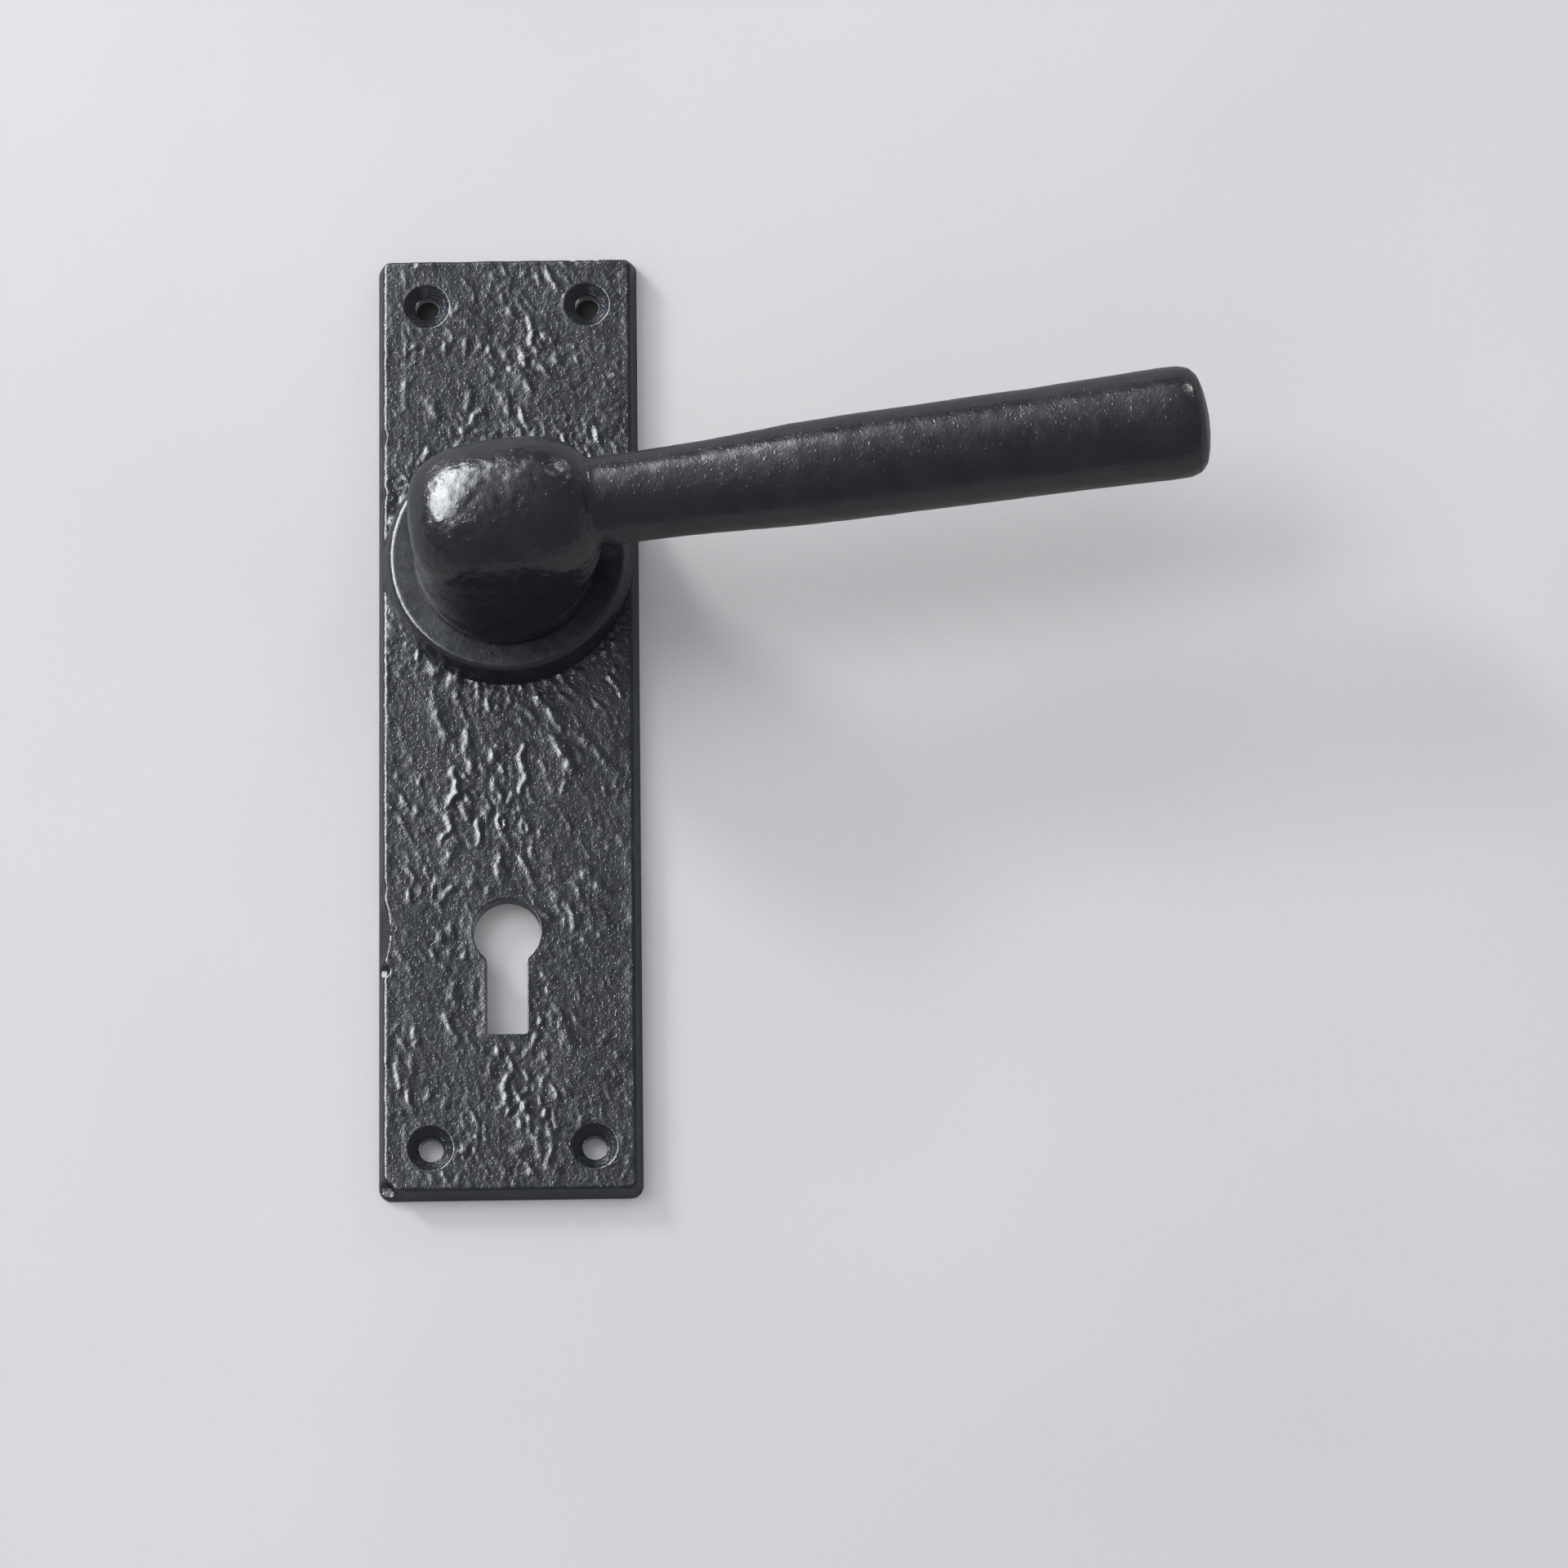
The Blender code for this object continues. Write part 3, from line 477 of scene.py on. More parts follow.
def plate_sheet():
    """The front sheet with its holes cut out of the grid, and its open loops by name."""
    side_lean = math.atan2(PLATE_THICKNESS, SIDE_DRAFT)
    edge_end_height = PLATE_THICKNESS - EDGE_RADIUS * (1 - math.cos(side_lean))
    edge_start = SIDE_DRAFT * edge_end_height / PLATE_THICKNESS + EDGE_RADIUS * math.sin(side_lean)
    inset = edge_start - EDGE_RADIUS * math.sin(GRID_EDGE_TURN)
    half_x, half_z = HALF_WIDTH - inset, HALF_LENGTH - inset

    def outline(points):
        return rounded_box(points, half_x, half_z, CORNER_RADIUS - inset)

    def edge_drop(points):
        inside = rounded_box(points, HALF_WIDTH - edge_start, HALF_LENGTH - edge_start, 0.45 * MM)
        run = np.clip(-inside, 0.0, 0.995 * EDGE_RADIUS)
        return EDGE_RADIUS - np.sqrt(EDGE_RADIUS ** 2 - run ** 2)

    xs, zs = graded(half_x), graded(half_z)
    grid_x, grid_z = np.meshgrid(xs, zs)
    points = np.stack([grid_x.ravel(), np.zeros(grid_x.size), grid_z.ravel()], axis=1)
    corner = (np.arange(len(zs) - 1)[:, None] * len(xs) + np.arange(len(xs) - 1)).ravel()
    quads = np.stack([corner, corner + 1, corner + len(xs) + 1, corner + len(xs)], axis=1)
    centres = points[quads].mean(axis=1)
    cutters = [("outer", outline)]
    rim = COUNTERSINK_RADIUS + 0.9 * MM
    for place in SCREW_PLACES:
        cutters.append((place, lambda p, at=place: beyond_circle(p, at, rim)))
    cutters.append(("keyhole", lambda p: beyond_keyhole(p) - 0.22 * MM))
    keep = np.ones(len(quads), bool)
    for _, distance in cutters:
        keep &= distance(centres) > 0
    quads = quads[keep]
    used = np.unique(quads)
    renumber = np.full(len(points), -1)
    renumber[used] = np.arange(len(used))
    points, quads = points[used], renumber[quads]
    loops = {}
    for loop in open_loops(quads):
        name, distance = min(cutters, key=lambda c: np.abs(c[1](points[loop])).mean())
        points[loop] = onto_outline(points[loop], distance)
        loops[name] = loop
    points[:, 1] = -(PLATE_THICKNESS - edge_drop(points))
    return Skin(points, quads), loops, (side_lean, edge_start, edge_end_height)


def outer_normals(points):
    """Directions in XZ away from the middle of the plate, square to its rounded outline."""
    nudge = 0.02 * MM
    distance = [rounded_box(points + step * nudge, HALF_WIDTH, HALF_LENGTH, CORNER_RADIUS)
                - rounded_box(points - step * nudge, HALF_WIDTH, HALF_LENGTH, CORNER_RADIUS)
                for step in IN_PLANE]
    normals = -np.stack([distance[0], np.zeros(len(points)), distance[1]], axis=1)
    return normals / np.linalg.norm(normals, axis=1, keepdims=True)


def add_sides(skin, loop, sizes):
    """The rounded front edge and the sloping side, down to the back face."""
    side_lean, edge_start, edge_end_height = sizes
    start = skin.points[loop]
    normals = outer_normals(start)
    depth_in = rounded_box(start, HALF_WIDTH, HALF_LENGTH, CORNER_RADIUS)
    rows = []
    for turn in np.linspace(GRID_EDGE_TURN, side_lean, 4)[1:]:
        rows.append((edge_start - EDGE_RADIUS * math.sin(turn),
                     PLATE_THICKNESS - EDGE_RADIUS * (1 - math.cos(turn))))
    for height in np.linspace(edge_end_height, 0.0, 9)[1:]:
        rows.append((SIDE_DRAFT * height / PLATE_THICKNESS, height))
    for inset, height in rows:
        row = start + normals * (depth_in - inset)[:, None]
        row[:, 1] = -height
        loop = skin.add_row(loop, row)
    return loop


def add_screw_hole(skin, loop, place):
    """The countersink with its rounded rim, and the plain hole down to the back face."""
    start = skin.points[loop]
    reach = start[:, [0, 2]] - np.array(place)
    angles = np.arctan2(reach[:, 1], reach[:, 0])
    profile = [(COUNTERSINK_RADIUS + out * MM, PLATE_THICKNESS) for out in (0.65, 0.45, 0.3, 0.18)]
    profile += [(COUNTERSINK_RADIUS + out * MM, PLATE_THICKNESS - down * MM)
                for out, down in ((0.09, 0.02), (0.02, 0.06), (-0.05, 0.12), (-0.12, 0.20))]
    steps = 5
    cone_top, cone_end = COUNTERSINK_RADIUS - 0.12 * MM, SCREW_HOLE_RADIUS + 0.06 * MM
    for i in range(1, steps + 1):
        part = i / steps
        profile.append((cone_top + (cone_end - cone_top) * part,
                        PLATE_THICKNESS - 0.20 * MM - (COUNTERSINK_DEPTH - 0.22 * MM) * part))
    wall = PLATE_THICKNESS - COUNTERSINK_DEPTH - 0.06 * MM
    profile += [(SCREW_HOLE_RADIUS, wall * part) for part in (1.0, 0.66, 0.33, 0.0)]
    for radius, height in profile:
        row = np.stack([place[0] + radius * np.cos(angles), np.full(len(loop), -height),
                        place[1] + radius * np.sin(angles)], axis=1)
        loop = skin.add_row(loop, row)
    return loop


def add_keyhole_wall(skin, loop):
    start = skin.points[loop]
    for out, height in ((0.12, 4.0), (0.05, 3.97), (0.01, 3.90), (0.0, 3.78), (0.0, 3.2), (0.0, 2.4),
                        (0.0, 1.6), (0.0, 0.8), (0.0, 0.0)):
        row = onto_outline(start, lambda p, gap=out * MM: beyond_keyhole(p) - gap)
        row[:, 1] = -height * MM
        loop = skin.add_row(loop, row)
    return loop


def close_back(obj, loops):
    """Fills the flat back between the outer loop and the holes' loops."""
    bm = bmesh.new()
    bm.from_mesh(obj.data)
    bm.verts.ensure_lookup_table()
    ends = {int(v) for loop in loops for v in loop}
    rim = [e for e in bm.edges if e.is_boundary and e.verts[0].index in ends and e.verts[1].index in ends]
    bmesh.ops.triangle_fill(bm, use_beauty=True, edges=rim, normal=(0.0, 1.0, 0.0))
    bmesh.ops.recalc_face_normals(bm, faces=bm.faces)
    bm.to_mesh(obj.data)
    bm.free()


def chipped(points):
    """Pushes the front edge in where a bit of the casting is missing."""
    flat = points[:, [0, 2]] / MM
    height = -points[:, 1]
    for x, z, reach_x, reach_z, depth in CHIPS:
        away = np.hypot((flat[:, 0] - x) / reach_x, (flat[:, 1] - z) / reach_z)
        share = (1.0 - ramp(away, 0.35, 1.0)) * ramp(height, 0.6 * MM, 2.4 * MM)
        points[:, 1] += depth * CHIP_SIDE_SHARE * MM * share
        points[:, 0] -= np.sign(x) * depth * CHIP_SIDE_SHARE * MM * share * (abs(x) > CHIP_SIDE_X)
        points[:, 2] -= np.sign(z) * depth * CHIP_END_SHARE * MM * share * (abs(z) > CHIP_END_Z)
    return points


def make_plate_skin():
    """The whole plate as one closed solid, hammered in front and flat behind."""
    skin, loops, sizes = plate_sheet()
    ends = [add_sides(skin, loops["outer"], sizes), add_keyhole_wall(skin, loops["keyhole"])]
    ends += [add_screw_hole(skin, loops[place], place) for place in SCREW_PLACES]
    obj = to_object("backplate_cast", skin.points, skin.faces)
    close_back(obj, ends)
    points, normals = get_points(obj.data), get_normals(obj.data)
    clear = beyond_keyhole(points)
    share = ramp(clear, 0.05 * MM, 1.3 * MM)
    for place in SCREW_PLACES:
        share *= ramp(beyond_circle(points, place, COUNTERSINK_RADIUS), 0.05 * MM, 1.1 * MM)
    height = -points[:, 1]
    face = ramp(height, 3.2 * MM, 3.9 * MM)
    edge_waves = 0.10 * MM * grain(points, 5.5 * MM, 11) + 0.05 * MM * grain(points, 1.7 * MM, 12)
    side = 0.030 * MM * grain(points, 1.4 * MM, 13) * ramp(height, 0.2 * MM, 1.0 * MM)
    middle = ramp(rounded_box(points, HALF_WIDTH, HALF_LENGTH, CORNER_RADIUS), 1.2 * MM, 3.0 * MM)
    amount = share * (hammered(points) - 0.06 * MM) * (0.35 + 0.65 * middle) * face
    amount += share * (1.0 - middle) * face * edge_waves + side * share * (1.0 - face)
    moved = chipped(points + normals * amount[:, None])
    limit = np.array([HALF_WIDTH, 1.0, HALF_LENGTH])
    moved = np.clip(moved, -limit, limit)
    moved[height < 0.01 * MM, 1] = 0.0
    set_points(obj.data, moved)
    return obj


def make_rose():
    """The raised ring round the spindle, with its rounded rim and its steep, pebbled flank."""
    flat, rim = ROSE_FLAT_RADIUS, ROSE_RIM_RADIUS
    profile = [(2.0 * MM, 3.0 * MM), (17.0 * MM, 3.0 * MM), (19.0 * MM, 3.2 * MM)]
    lean = math.radians(72)
    rim_end = (flat + rim * math.sin(lean), ROSE_HEIGHT - rim * (1 - math.cos(lean)))
    for part in np.linspace(0.0, 1.0, 15):
        profile.append((ROSE_BASE_RADIUS + (rim_end[0] - ROSE_BASE_RADIUS) * part,
                        3.6 * MM + (rim_end[1] - 3.6 * MM) * part))
    for turn in np.linspace(lean, 0.0, 10)[1:]:
        profile.append((flat + rim * math.sin(turn), ROSE_HEIGHT - rim * (1 - math.cos(turn))))
    for radius in (17.3, 16.9, 16.5, 16.1, 15.6, 15.1, 14.5, 13.5, 11.0, 2.0):
        profile.append((radius * MM, ROSE_HEIGHT))
    obj = turned("rose_skin", profile, ROSE_STEPS, (0.0, SPINDLE_Z))
    points, normals = get_points(obj.data), get_normals(obj.data)
    height = -points[:, 1]
    radius = np.hypot(points[:, 0], points[:, 2] - SPINDLE_Z)
    top = ramp(height, 7.2 * MM, 8.2 * MM) * ramp(radius, 12.8 * MM, 13.6 * MM)
    flank = ramp(height, 3.4 * MM, 3.8 * MM) * (1.0 - ramp(height, 6.5 * MM, 8.0 * MM))
    amount = top * (0.035 * MM * grain(points, 6 * MM, 21) + 0.016 * MM * grain(points, 1.6 * MM, 22)
                    - 0.035 * MM)
    amount += flank * (0.10 * MM * grain(points, 1.5 * MM, 23) + 0.05 * MM * grain(points, 0.8 * MM, 24))
    set_points(obj.data, points + normals * amount[:, None])
    return obj


def rear_cavity():
    """Everything inside the plate that the CAD casting leaves empty behind the rose."""
    slab = disc("cavity", CAVITY_RADIUS, -1.0 * MM, CAVITY_DEPTH)
    ears = disc("ears", EAR_REACH, -0.9 * MM, EAR_DEPTH)
    combine(slab, clipped_to_plate(ears), 'UNION')
    return combine(slab, welded_copy("backplate", "plate_copy"), 'DIFFERENCE')


def clipped_to_plate(obj):
    """Keeps a tool inside the plate's width, so that it can't cut the sides."""
    points = get_points(obj.data)
    limit = HALF_WIDTH - SIDE_WALL
    points[:, 0] = np.clip(points[:, 0], -limit, limit)
    set_points(obj.data, points)
    return obj


def make_backplate():
    plate = make_plate_skin()
    combine(plate, make_rose(), 'UNION')
    combine(plate, rear_cavity(), 'DIFFERENCE')
    return combine(plate, disc("bore", BORE_RADIUS, BORE_LOW, BORE_TOP, 1.0 * MM), 'DIFFERENCE')


# ---- The lever ----------------------------------------------------------------------------------------

def lever_place(points):
    """Points in the lever's own axes: along the grip, in front of the door, and across the grip."""
    turn = Matrix.Rotation(LEVER_ANGLE, 3, 'Y')
    return (points - np.array([0.0, 0.0, SPINDLE_Z])) @ np.array(turn).T


def make_lever():
    """The lever with a dense skin: a dimpled head, rings on the neck and fine pebbles on the grip."""
    lever = welded_copy("lever_handle", "lever_cast")
    cad = welded_copy("lever_handle", "lever_copy")
    remesh = lever.modifiers.new("skin", 'REMESH')
    remesh.mode = 'VOXEL'
    remesh.voxel_size = LEVER_CELL
    applied(lever)
    local = lever_place(get_points(lever.data))
    height, along, across = -local[:, 1], local[:, 0], local[:, 2]
    from_spindle = np.hypot(along, across)
    outer = ramp(height, 9.4 * MM, 10.4 * MM) * ramp(from_spindle, 9.0 * MM, 10.5 * MM)
    outer = np.maximum(outer, ramp(height, HEAD_TOP_START, HEAD_TOP_END))
    outer *= 1.0 - 0.75 * ramp(along, along.max() - 5.0 * MM, along.max() - 2.5 * MM)
    group = lever.vertex_groups.new(name="outer")
    for level in range(1, 5):
        rows = np.flatnonzero(np.round(outer * 4) == level)
        group.add([int(i) for i in rows], level / 4, 'REPLACE')
    smooth = lever.modifiers.new("soften", 'SMOOTH')
    smooth.factor = 0.5
    smooth.iterations = 14
    smooth.vertex_group = "outer"
    applied(lever)
    lever.vertex_groups.clear()
    points, normals = get_points(lever.data), get_normals(lever.data)
    local = lever_place(points)
    height, along, across = -local[:, 1], local[:, 0], local[:, 2]
    grip = ramp(along, 13.0 * MM, 17.0 * MM)
    head = (1.0 - grip) * ramp(height, 19.5 * MM, 21.5 * MM)
    neck = (1.0 - grip) * (1.0 - ramp(height, 19.5 * MM, 21.0 * MM))
    amount = head * MM * (0.085 * grain(points, 6.0 * MM, 31) + 0.050 * grain(points, 2.2 * MM, 32)
                          + 0.056 * grain(points, 1.15 * MM, 33))
    amount += grip * MM * (0.060 * grain(points, 11.0 * MM, 34) + 0.024 * grain(points, 2.4 * MM, 35)
                           + 0.015 * grain(points, 1.1 * MM, 36))
    rings = np.sin(height / (1.05 * MM) * 2 * math.pi) * ramp(height, 12.6 * MM, 13.4 * MM)
    amount += neck * MM * (0.020 * rings + 0.020 * grain(points, 1.8 * MM, 37))
    level = local[:, 1] + LEVER_AXIS_HEIGHT
    turn = np.arctan2(across, -level)
    seam = np.exp(-((turn - math.radians(74)) * 8.2 / 0.55) ** 2) * ramp(along, 20 * MM, 28 * MM)
    amount += 0.055 * MM * seam * (0.6 + 0.4 * grain(points, 4.0 * MM, 38))
    moved = points + normals * ((amount - SETTLE_IN) * outer_share(height, along, across))[:, None]
    set_points(lever.data, moved)
    core, low = 1.0 * MM, -2.0 * MM
    profile = ((core, low), (SHANK_REACH, low), (SHANK_REACH, SHANK_SPACE_TOP), (SOCKET_RADIUS, SOCKET_LOW),
               (SOCKET_RADIUS, SOCKET_TOP), (core, SOCKET_TOP))
    socket = turned("shank_space", profile, TOOL_STEPS, (0.0, SPINDLE_Z))
    combine(socket, cad, 'DIFFERENCE')
    return combine(lever, socket, 'DIFFERENCE')


def outer_share(height, along, across):
    """How much relief a point takes: all of it where it shows, none on the shank or in the pocket."""
    from_spindle = np.hypot(along, across)
    skirt = ramp(height, 9.3 * MM, 9.9 * MM) * ramp(from_spindle, 12.9 * MM, 13.6 * MM)
    return np.maximum(skirt, ramp(height, HEAD_TOP_START, HEAD_TOP_END))


# ---- The spring --------------------------------------------------------------------------------------

def make_spring():
    """The return spring as a finer copy of the CAD spring, whose wire comes out round and smooth."""
    spring = welded_copy("return_spring", "return_spring_wire")
    fine = spring.modifiers.new("round", 'SUBSURF')
    fine.levels = 1
    fine.render_levels = 1
    applied(spring)
    return spring


# ---- Materials ---------------------------------------------------------------------------------------

def add_node(tree, kind, inputs=None, **settings):
    node = tree.nodes.new("ShaderNode" + kind)
    for name, value in settings.items():
        setattr(node, name, value)
    for name, value in (inputs or {}).items():
        if hasattr(value, "node"):
            tree.links.new(value, node.inputs[name])
        else:
            node.inputs[name].default_value = value
    return node


def new_material(name):
    made = bpy.data.materials.new(name)
    made.use_nodes = True
    tree = made.node_tree
    shader = tree.nodes["Principled BSDF"]
    place = add_node(tree, "TexCoord").outputs["Object"]
    return made, tree, shader, place


def noise(tree, place, size, detail=3.0, roughness=0.5):
    """A noise pattern whose marks are about size wide, in metres."""
    return add_node(tree, "TexNoise", {"Vector": place, "Scale": 1.0 / size, "Detail": detail,
                                       "Roughness": roughness}).outputs["Fac"]


def remap(tree, value, low, high, to_low, to_high):
    return add_node(tree, "MapRange", {"Value": value, "From Min": low, "From Max": high,
                                       "To Min": to_low, "To Max": to_high}).outputs["Result"]


def times(tree, first, second):
    node = add_node(tree, "Math", operation='MULTIPLY')
    tree.links.new(first, node.inputs[0])
    tree.links.new(second, node.inputs[1])
    return node.outputs["Value"]


def blend_colors(tree, factor, first, second):
    """Mixes two colours, each of which is three numbers or another node's socket."""
    node = add_node(tree, "Mix", data_type='RGBA')
    tree.links.new(factor, node.inputs["Factor"])
    for name, value in (("A", first), ("B", second)):
        socket = [s for s in node.inputs if s.name == name and s.type == 'RGBA'][0]
        if hasattr(value, "node"):
            tree.links.new(value, socket)
        else:
            socket.default_value = (*value, 1.0)
    return [s for s in node.outputs if s.type == 'RGBA'][0]


def add_bumps(tree, shader, layers):
    """Stacks fine relief, each layer a (height socket, depth in metres)."""
    normal = None
    for height, depth in layers:
        bump = add_node(tree, "Bump", {"Height": height, "Distance": depth, "Strength": 1.0})
        if normal is not None:
            tree.links.new(normal, bump.inputs["Normal"])
        normal = bump.outputs["Normal"]
    tree.links.new(normal, shader.inputs["Normal"])


def lacquer(name, dark, light, roughness, grain_depth, grain_size, speck_depth, smooth_above=1.0):
    """Black lacquer over cast iron: slate in tone, sandy, and specked with small grains.

    The relief fades to about a third above the height smooth_above, whose default is far above the handle.
    """
    made, tree, shader, place = new_material(name)
    tone = remap(tree, noise(tree, place, 6 * MM, 4.0), 0.35, 0.65, 0.0, 1.0)
    color = blend_colors(tree, tone, dark, light)
    tree.links.new(color, shader.inputs["Base Color"])
    sheen = noise(tree, place, 2.2 * MM, 3.0)
    rough = remap(tree, sheen, 0.3, 0.7, roughness - 0.05, roughness + 0.06)
    tree.links.new(rough, shader.inputs["Roughness"])
    shader.inputs["Metallic"].default_value = 0.0
    shader.inputs["IOR"].default_value = 1.80
    specks = remap(tree, noise(tree, place, grain_size * 0.9, 1.0), 0.62, 0.78, 0.0, 1.0)
    layers = [(noise(tree, place, grain_size, 2.0, 0.6), grain_depth), (specks, speck_depth),
              (noise(tree, place, grain_size * 0.42, 2.0, 0.55), grain_depth * 0.35)]
    level = add_node(tree, "SeparateXYZ", {"Vector": place}).outputs["Y"]
    share = remap(tree, level, -smooth_above - 1.5 * MM, -smooth_above, 0.35, 1.0)
    add_bumps(tree, shader, [(times(tree, height, share), depth) for height, depth in layers])
    return made


def plating(name, color, roughness, scratch_depth):
    """Bright or grey plating on steel, with fine scratches and faint stains."""
    made, tree, shader, place = new_material(name)
    stain = remap(tree, noise(tree, place, 3 * MM, 4.0), 0.35, 0.7, 0.0, 1.0)
    darker = tuple(c * 0.72 for c in color)
    tree.links.new(blend_colors(tree, stain, color, darker), shader.inputs["Base Color"])
    rough = remap(tree, noise(tree, place, 0.8 * MM, 3.0), 0.3, 0.7, roughness - 0.07, roughness + 0.10)
    tree.links.new(rough, shader.inputs["Roughness"])
    shader.inputs["Metallic"].default_value = 1.0
    stretched = add_node(tree, "Mapping", {"Vector": place, "Scale": (1.0, 6.0, 1.0)}).outputs["Vector"]
    add_bumps(tree, shader, [(noise(tree, stretched, 0.35 * MM, 4.0, 0.6), scratch_depth)])
    return made


def nylon():
    made, tree, shader, place = new_material("nylon_finish")
    cloud = remap(tree, noise(tree, place, 4 * MM, 3.0), 0.35, 0.65, 0.0, 1.0)
    color = blend_colors(tree, cloud, (0.80, 0.79, 0.74), (0.70, 0.69, 0.63))
    tree.links.new(color, shader.inputs["Base Color"])
    rough = remap(tree, noise(tree, place, 1.5 * MM), 0.3, 0.7, 0.38, 0.52)
    tree.links.new(rough, shader.inputs["Roughness"])
    shader.inputs["Subsurface Weight"].default_value = 0.15
    shader.inputs["Subsurface Scale"].default_value = 0.5 * MM
    add_bumps(tree, shader, [(noise(tree, place, 0.3 * MM, 2.0), 0.006 * MM)])
    return made


def give(obj, material):
    obj.data.materials.clear()
    obj.data.materials.append(material)


# ---- Stage, lights and camera -------------------------------------------------------------------------

def paper(name, tone=1.0):
    """Pale paper with painted shade in reflections: its colour is dark grey for glossy rays, so the lacquer
    mirrors it dim. It is clear from behind to show the handle's back.
    """
    made, tree, shader, place = new_material(name)
    cloud = remap(tree, noise(tree, place, 90 * MM, 2.0), 0.3, 0.7, 0.0, 1.0)
    colors = [tuple(tone * c for c in color) for color in ((0.665, 0.655, 0.672), (0.705, 0.694, 0.709))]
    lit = blend_colors(tree, cloud, *colors)
    # painted shade: glossy rays see the paper as dark grey (0.28), standing in for a dark card where the
    # lacquer mirrors it
    mirrored = add_node(tree, "LightPath").outputs["Is Glossy Ray"]
    tree.links.new(blend_colors(tree, mirrored, lit, (0.28, 0.275, 0.285)), shader.inputs["Base Color"])
    shader.inputs["Roughness"].default_value = 0.85
    shader.inputs["Specular IOR Level"].default_value = 0.25
    add_bumps(tree, shader, [(noise(tree, place, 0.9 * MM, 3.0, 0.6), 0.05 * MM)])
    clear = add_node(tree, "BsdfTransparent").outputs["BSDF"]
    mix = add_node(tree, "MixShader", {"Fac": add_node(tree, "NewGeometry").outputs["Backfacing"]})
    tree.links.new(shader.outputs["BSDF"], mix.inputs[1])
    tree.links.new(clear, mix.inputs[2])
    tree.links.new(mix.outputs["Shader"], tree.nodes["Material Output"].inputs["Surface"])
    return made


def make_paper(name, depth, cells, material):
    """One sheet of the backdrop, made of rectangles (low x, high x, low z, high z)."""
    points = [(x, depth, z) for left, right, low, high in cells
              for x, z in ((left, low), (right, low), (right, high), (left, high))]
    faces = [tuple(range(first, first + 4)) for first in range(0, len(points), 4)]
    mesh = bpy.data.meshes.new(name)
    mesh.from_pydata(points, [], faces)
    mesh.materials.append(material)
    obj = bpy.data.objects.new(name, mesh)
    bpy.context.scene.collection.objects.link(obj)
    return obj


def make_backdrop():
    """The paper that the handle lies on. It is cut away behind the plate, except behind the holes; the
    sheet behind the two upper holes is nearly black paper, painted shade.
    """
    far, inset, depth = 1.2, 0.75 * MM, 0.2 * MM
    x, z = HALF_WIDTH - inset, HALF_LENGTH - inset
    around = ((-far, -x, -far, far), (x, far, -far, far), (-x, x, -far, -z), (-x, x, z, far))
    make_paper("paper", depth, around, paper("paper"))
    upper, lower = [], [(-8 * MM, 8 * MM, -53 * MM, -27 * MM)]
    for centre_x, centre_z in SCREW_PLACES:
        reach = 3.5 * MM
        cell = (centre_x - reach, centre_x + reach, centre_z - reach, centre_z + reach)
        (upper if centre_z > 0 else lower).append(cell)
    for patch in (make_paper("paper_behind_holes", 2 * depth, lower, paper("paper_behind_holes")),
                  # painted shade: the sheet behind the upper holes is paper at 5 % tone, a dark sheet
                  # standing in for the shadow inside those holes
                  make_paper("shade_behind_holes", 2 * depth, upper, paper("shade_behind_holes", 0.05))):
        patch.visible_diffuse = False
        patch.visible_glossy = False
        patch.visible_shadow = False


def add_light(name, place, size, power, color=(1.0, 1.0, 1.0), target=(0.0, 0.0, 0.0),
              gloss=True, matte=True):
    """A soft light. gloss says whether reflections show it, and matte whether it lights matte surfaces."""
    data = bpy.data.lights.new(name, 'AREA')
    data.shape = 'RECTANGLE'
    data.size, data.size_y = size
    data.energy = power
    data.color = color
    lamp = bpy.data.objects.new(name, data)
    lamp.location = place
    lamp.rotation_euler = (Vector(target) - Vector(place)).to_track_quat('-Z', 'Y').to_euler()
    lamp.visible_camera = False
    lamp.visible_glossy = gloss
    lamp.visible_diffuse = matte
    bpy.context.scene.collection.objects.link(lamp)
    return lamp


def fade_across(lamp, dim):
    """Leaves an area light bright along one side and dims it towards the other."""
    lamp.data.use_nodes = True
    tree = lamp.data.node_tree
    place = add_node(tree, "NewGeometry").outputs["Parametric"]
    across = add_node(tree, "SeparateXYZ", {"Vector": place}).outputs["X"]
    tree.links.new(remap(tree, across, 0.36, 0.72, 1.0, dim), tree.nodes["Emission"].inputs["Strength"])


def make_lights():
    """The key, lights for matte surfaces only, a panel for reflections only, a corner light, two behind."""
    add_light("key", KEY_PLACE, KEY_SIZE, 1.3, KEY_COLOR, KEY_TARGET)
    add_light("key_on_paper", KEY_PLACE, KEY_SIZE, 4.4, KEY_COLOR, KEY_TARGET, gloss=False)
    add_light("side_fill", (-0.76, -1.12, 0.42), (0.8, 0.8), 7.0, gloss=False)
    add_light("front_fill", (0.10, -1.50, 0.20), (1.2, 1.2), 3.5, gloss=False)
    panel = add_light("panel", (-0.62, -1.02, 0.63), PANEL_SIZE, 112.0, PANEL_COLOR, matte=False)
    fade_across(panel, PANEL_DIM_SIDE)
    add_light("corner_light", (0.62, -0.40, 0.95), (0.22, 0.22), 1.1)
    add_light("rear_left", (-0.70, 0.80, 0.50), (0.6, 0.6), 6.0)
    add_light("rear_right", (0.80, 0.60, -0.10), (0.5, 0.5), 3.5)


def make_world():
    world = bpy.data.worlds.new("studio")
    world.use_nodes = True
    background = world.node_tree.nodes["Background"]
    background.inputs["Color"].default_value = (0.86, 0.865, 0.90, 1.0)
    mirrored = add_node(world.node_tree, "LightPath").outputs["Is Glossy Ray"]
    strength = remap(world.node_tree, mirrored, 0.0, 1.0, 0.50, 0.17)
    world.node_tree.links.new(strength, background.inputs["Strength"])
    bpy.context.scene.world = world


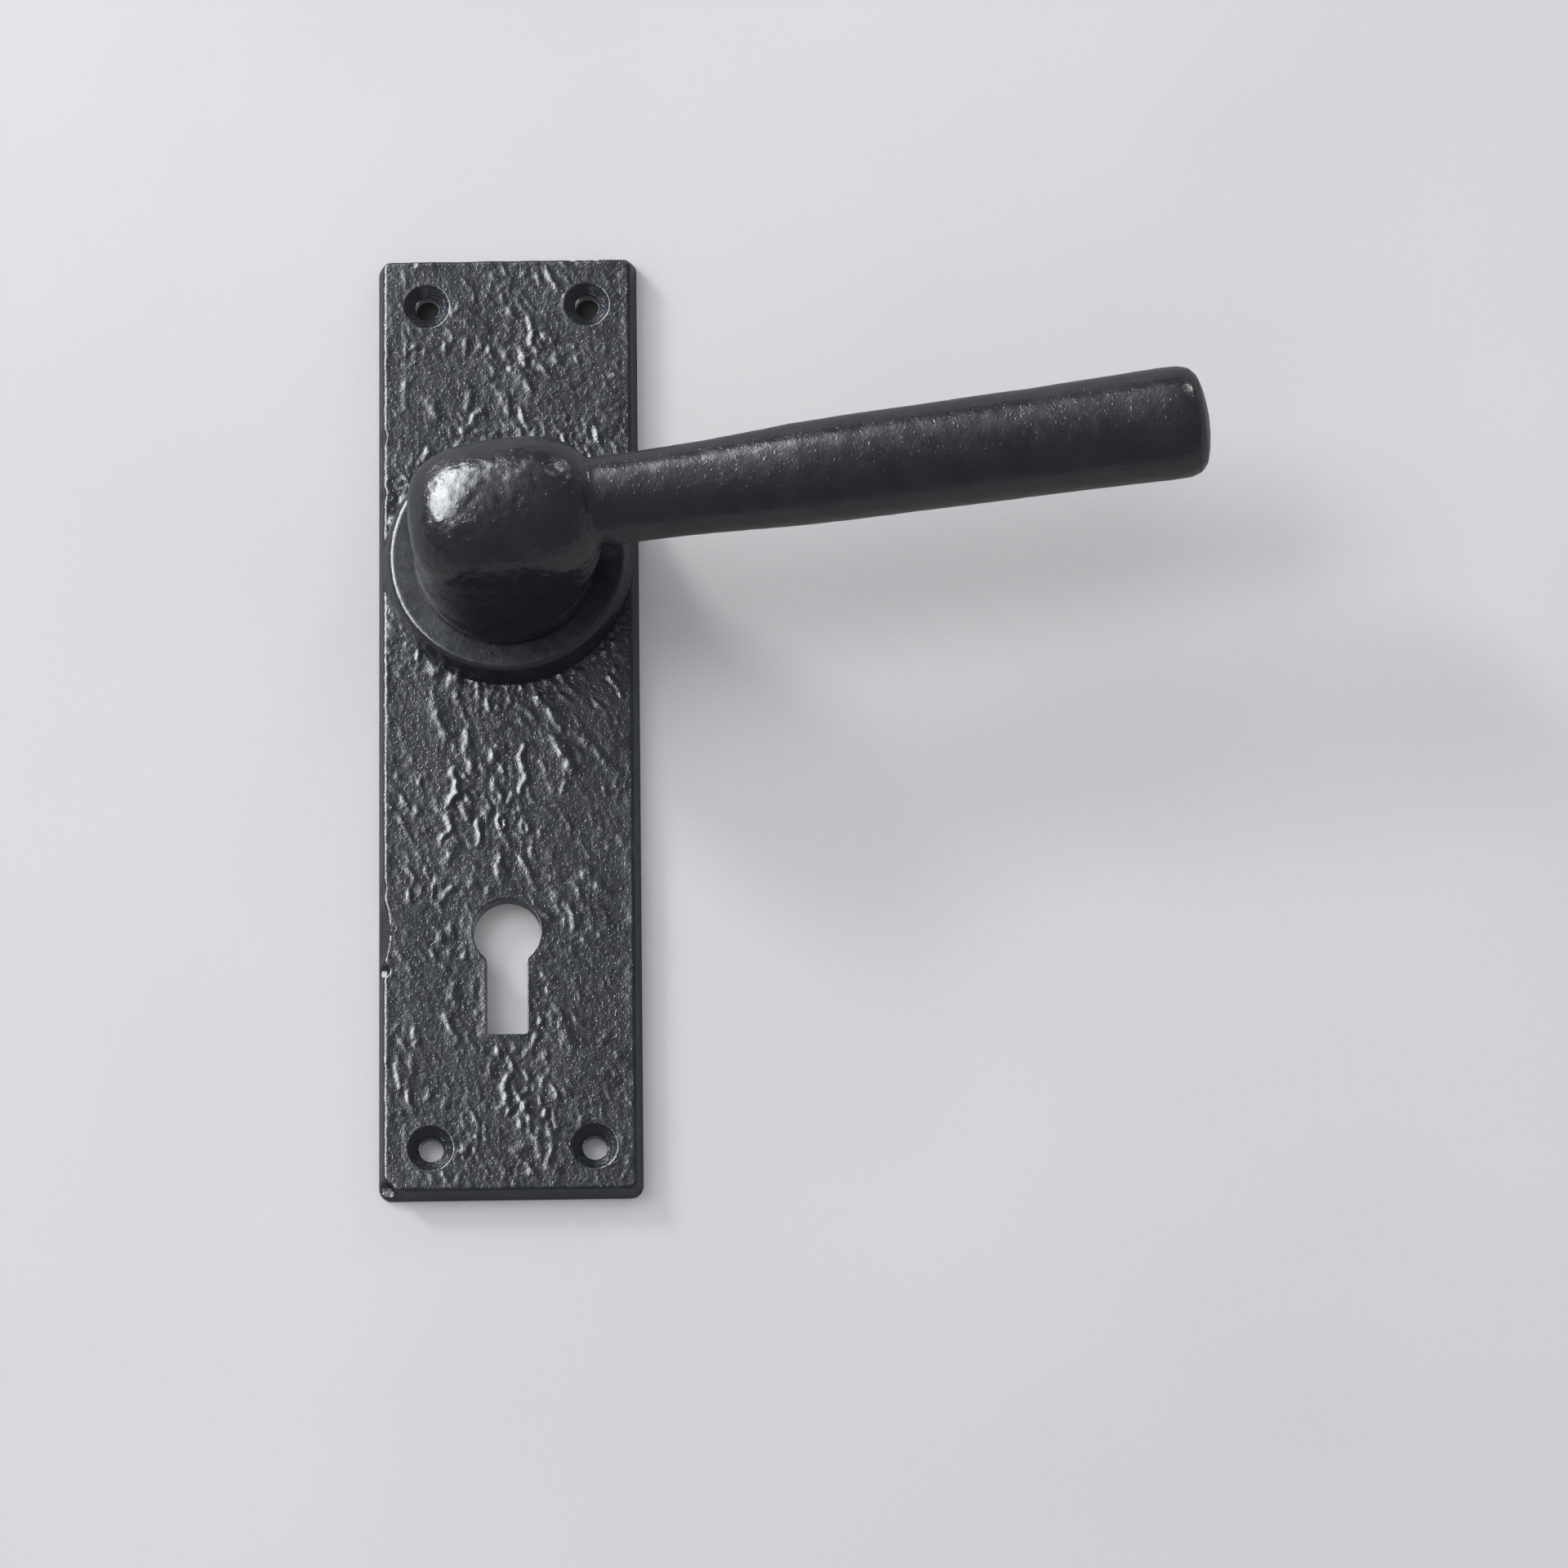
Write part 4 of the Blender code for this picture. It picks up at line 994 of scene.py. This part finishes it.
def make_camera():
    data = bpy.data.cameras.new("camera")
    data.lens = CAMERA_LENS
    data.sensor_width = 36.0
    data.clip_end = 10.0
    camera = bpy.data.objects.new("camera", data)
    camera.location = CAMERA_PLACE
    camera.rotation_euler = CAMERA_TURN
    bpy.context.scene.collection.objects.link(camera)
    bpy.context.scene.camera = camera


# ---- Assembly ---------------------------------------------------------------------------------------

for old in [o for o in bpy.data.objects if o.type in ('CAMERA', 'LIGHT')]:
    bpy.data.objects.remove(old)
make_camera()
make_world()
make_backdrop()
make_lights()

plate_lacquer = lacquer("plate_lacquer", (0.009, 0.0125, 0.017), (0.015, 0.0195, 0.0255),
                        0.26, 0.080 * MM, 0.55 * MM, 0.050 * MM, smooth_above=6.0 * MM)
lever_lacquer = lacquer("lever_lacquer", (0.0095, 0.0115, 0.0150), (0.0160, 0.0180, 0.0215),
                        0.23, 0.040 * MM, 0.62 * MM, 0.033 * MM)
steel = plating("plated_steel_finish", (0.62, 0.61, 0.57), 0.34, 0.004 * MM)
dark_steel = plating("spring_steel_finish", (0.30, 0.29, 0.29), 0.30, 0.003 * MM)
nylon_finish = nylon()

backplate = make_backplate()
give(backplate, plate_lacquer)
lever = make_lever()
give(lever, lever_lacquer)
spring = make_spring()
give(spring, dark_steel)
for obj, sharp in ((backplate, 48), (lever, 48), (spring, 60)):
    obj.data.shade_smooth()
    obj.data.set_sharp_from_angle(angle=math.radians(sharp))

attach(backplate, "plate_body")
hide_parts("backplate")
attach(lever, "lever_body")
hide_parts("lever_handle")
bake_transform(spring)
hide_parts("return_spring")

FINISHES = {"plated_steel": steel, "spring_steel": dark_steel, "white_nylon": nylon_finish,
            "black_iron": plate_lacquer}
SLOT_OF = {part["node"]: part["material_slot"] for part in frame["record"]["subparts"]}
for name, node in frame["nodes"].items():
    give(node, FINISHES[SLOT_OF[name]])
    soften = node.modifiers.new("soften", 'BEVEL')
    soften.width = SOFT_EDGE_WIDTH
    soften.segments = 2
    soften.limit_method = 'ANGLE'
    soften.angle_limit = SOFT_EDGE_ANGLE

bpy.context.scene.view_settings.view_transform = 'Standard'
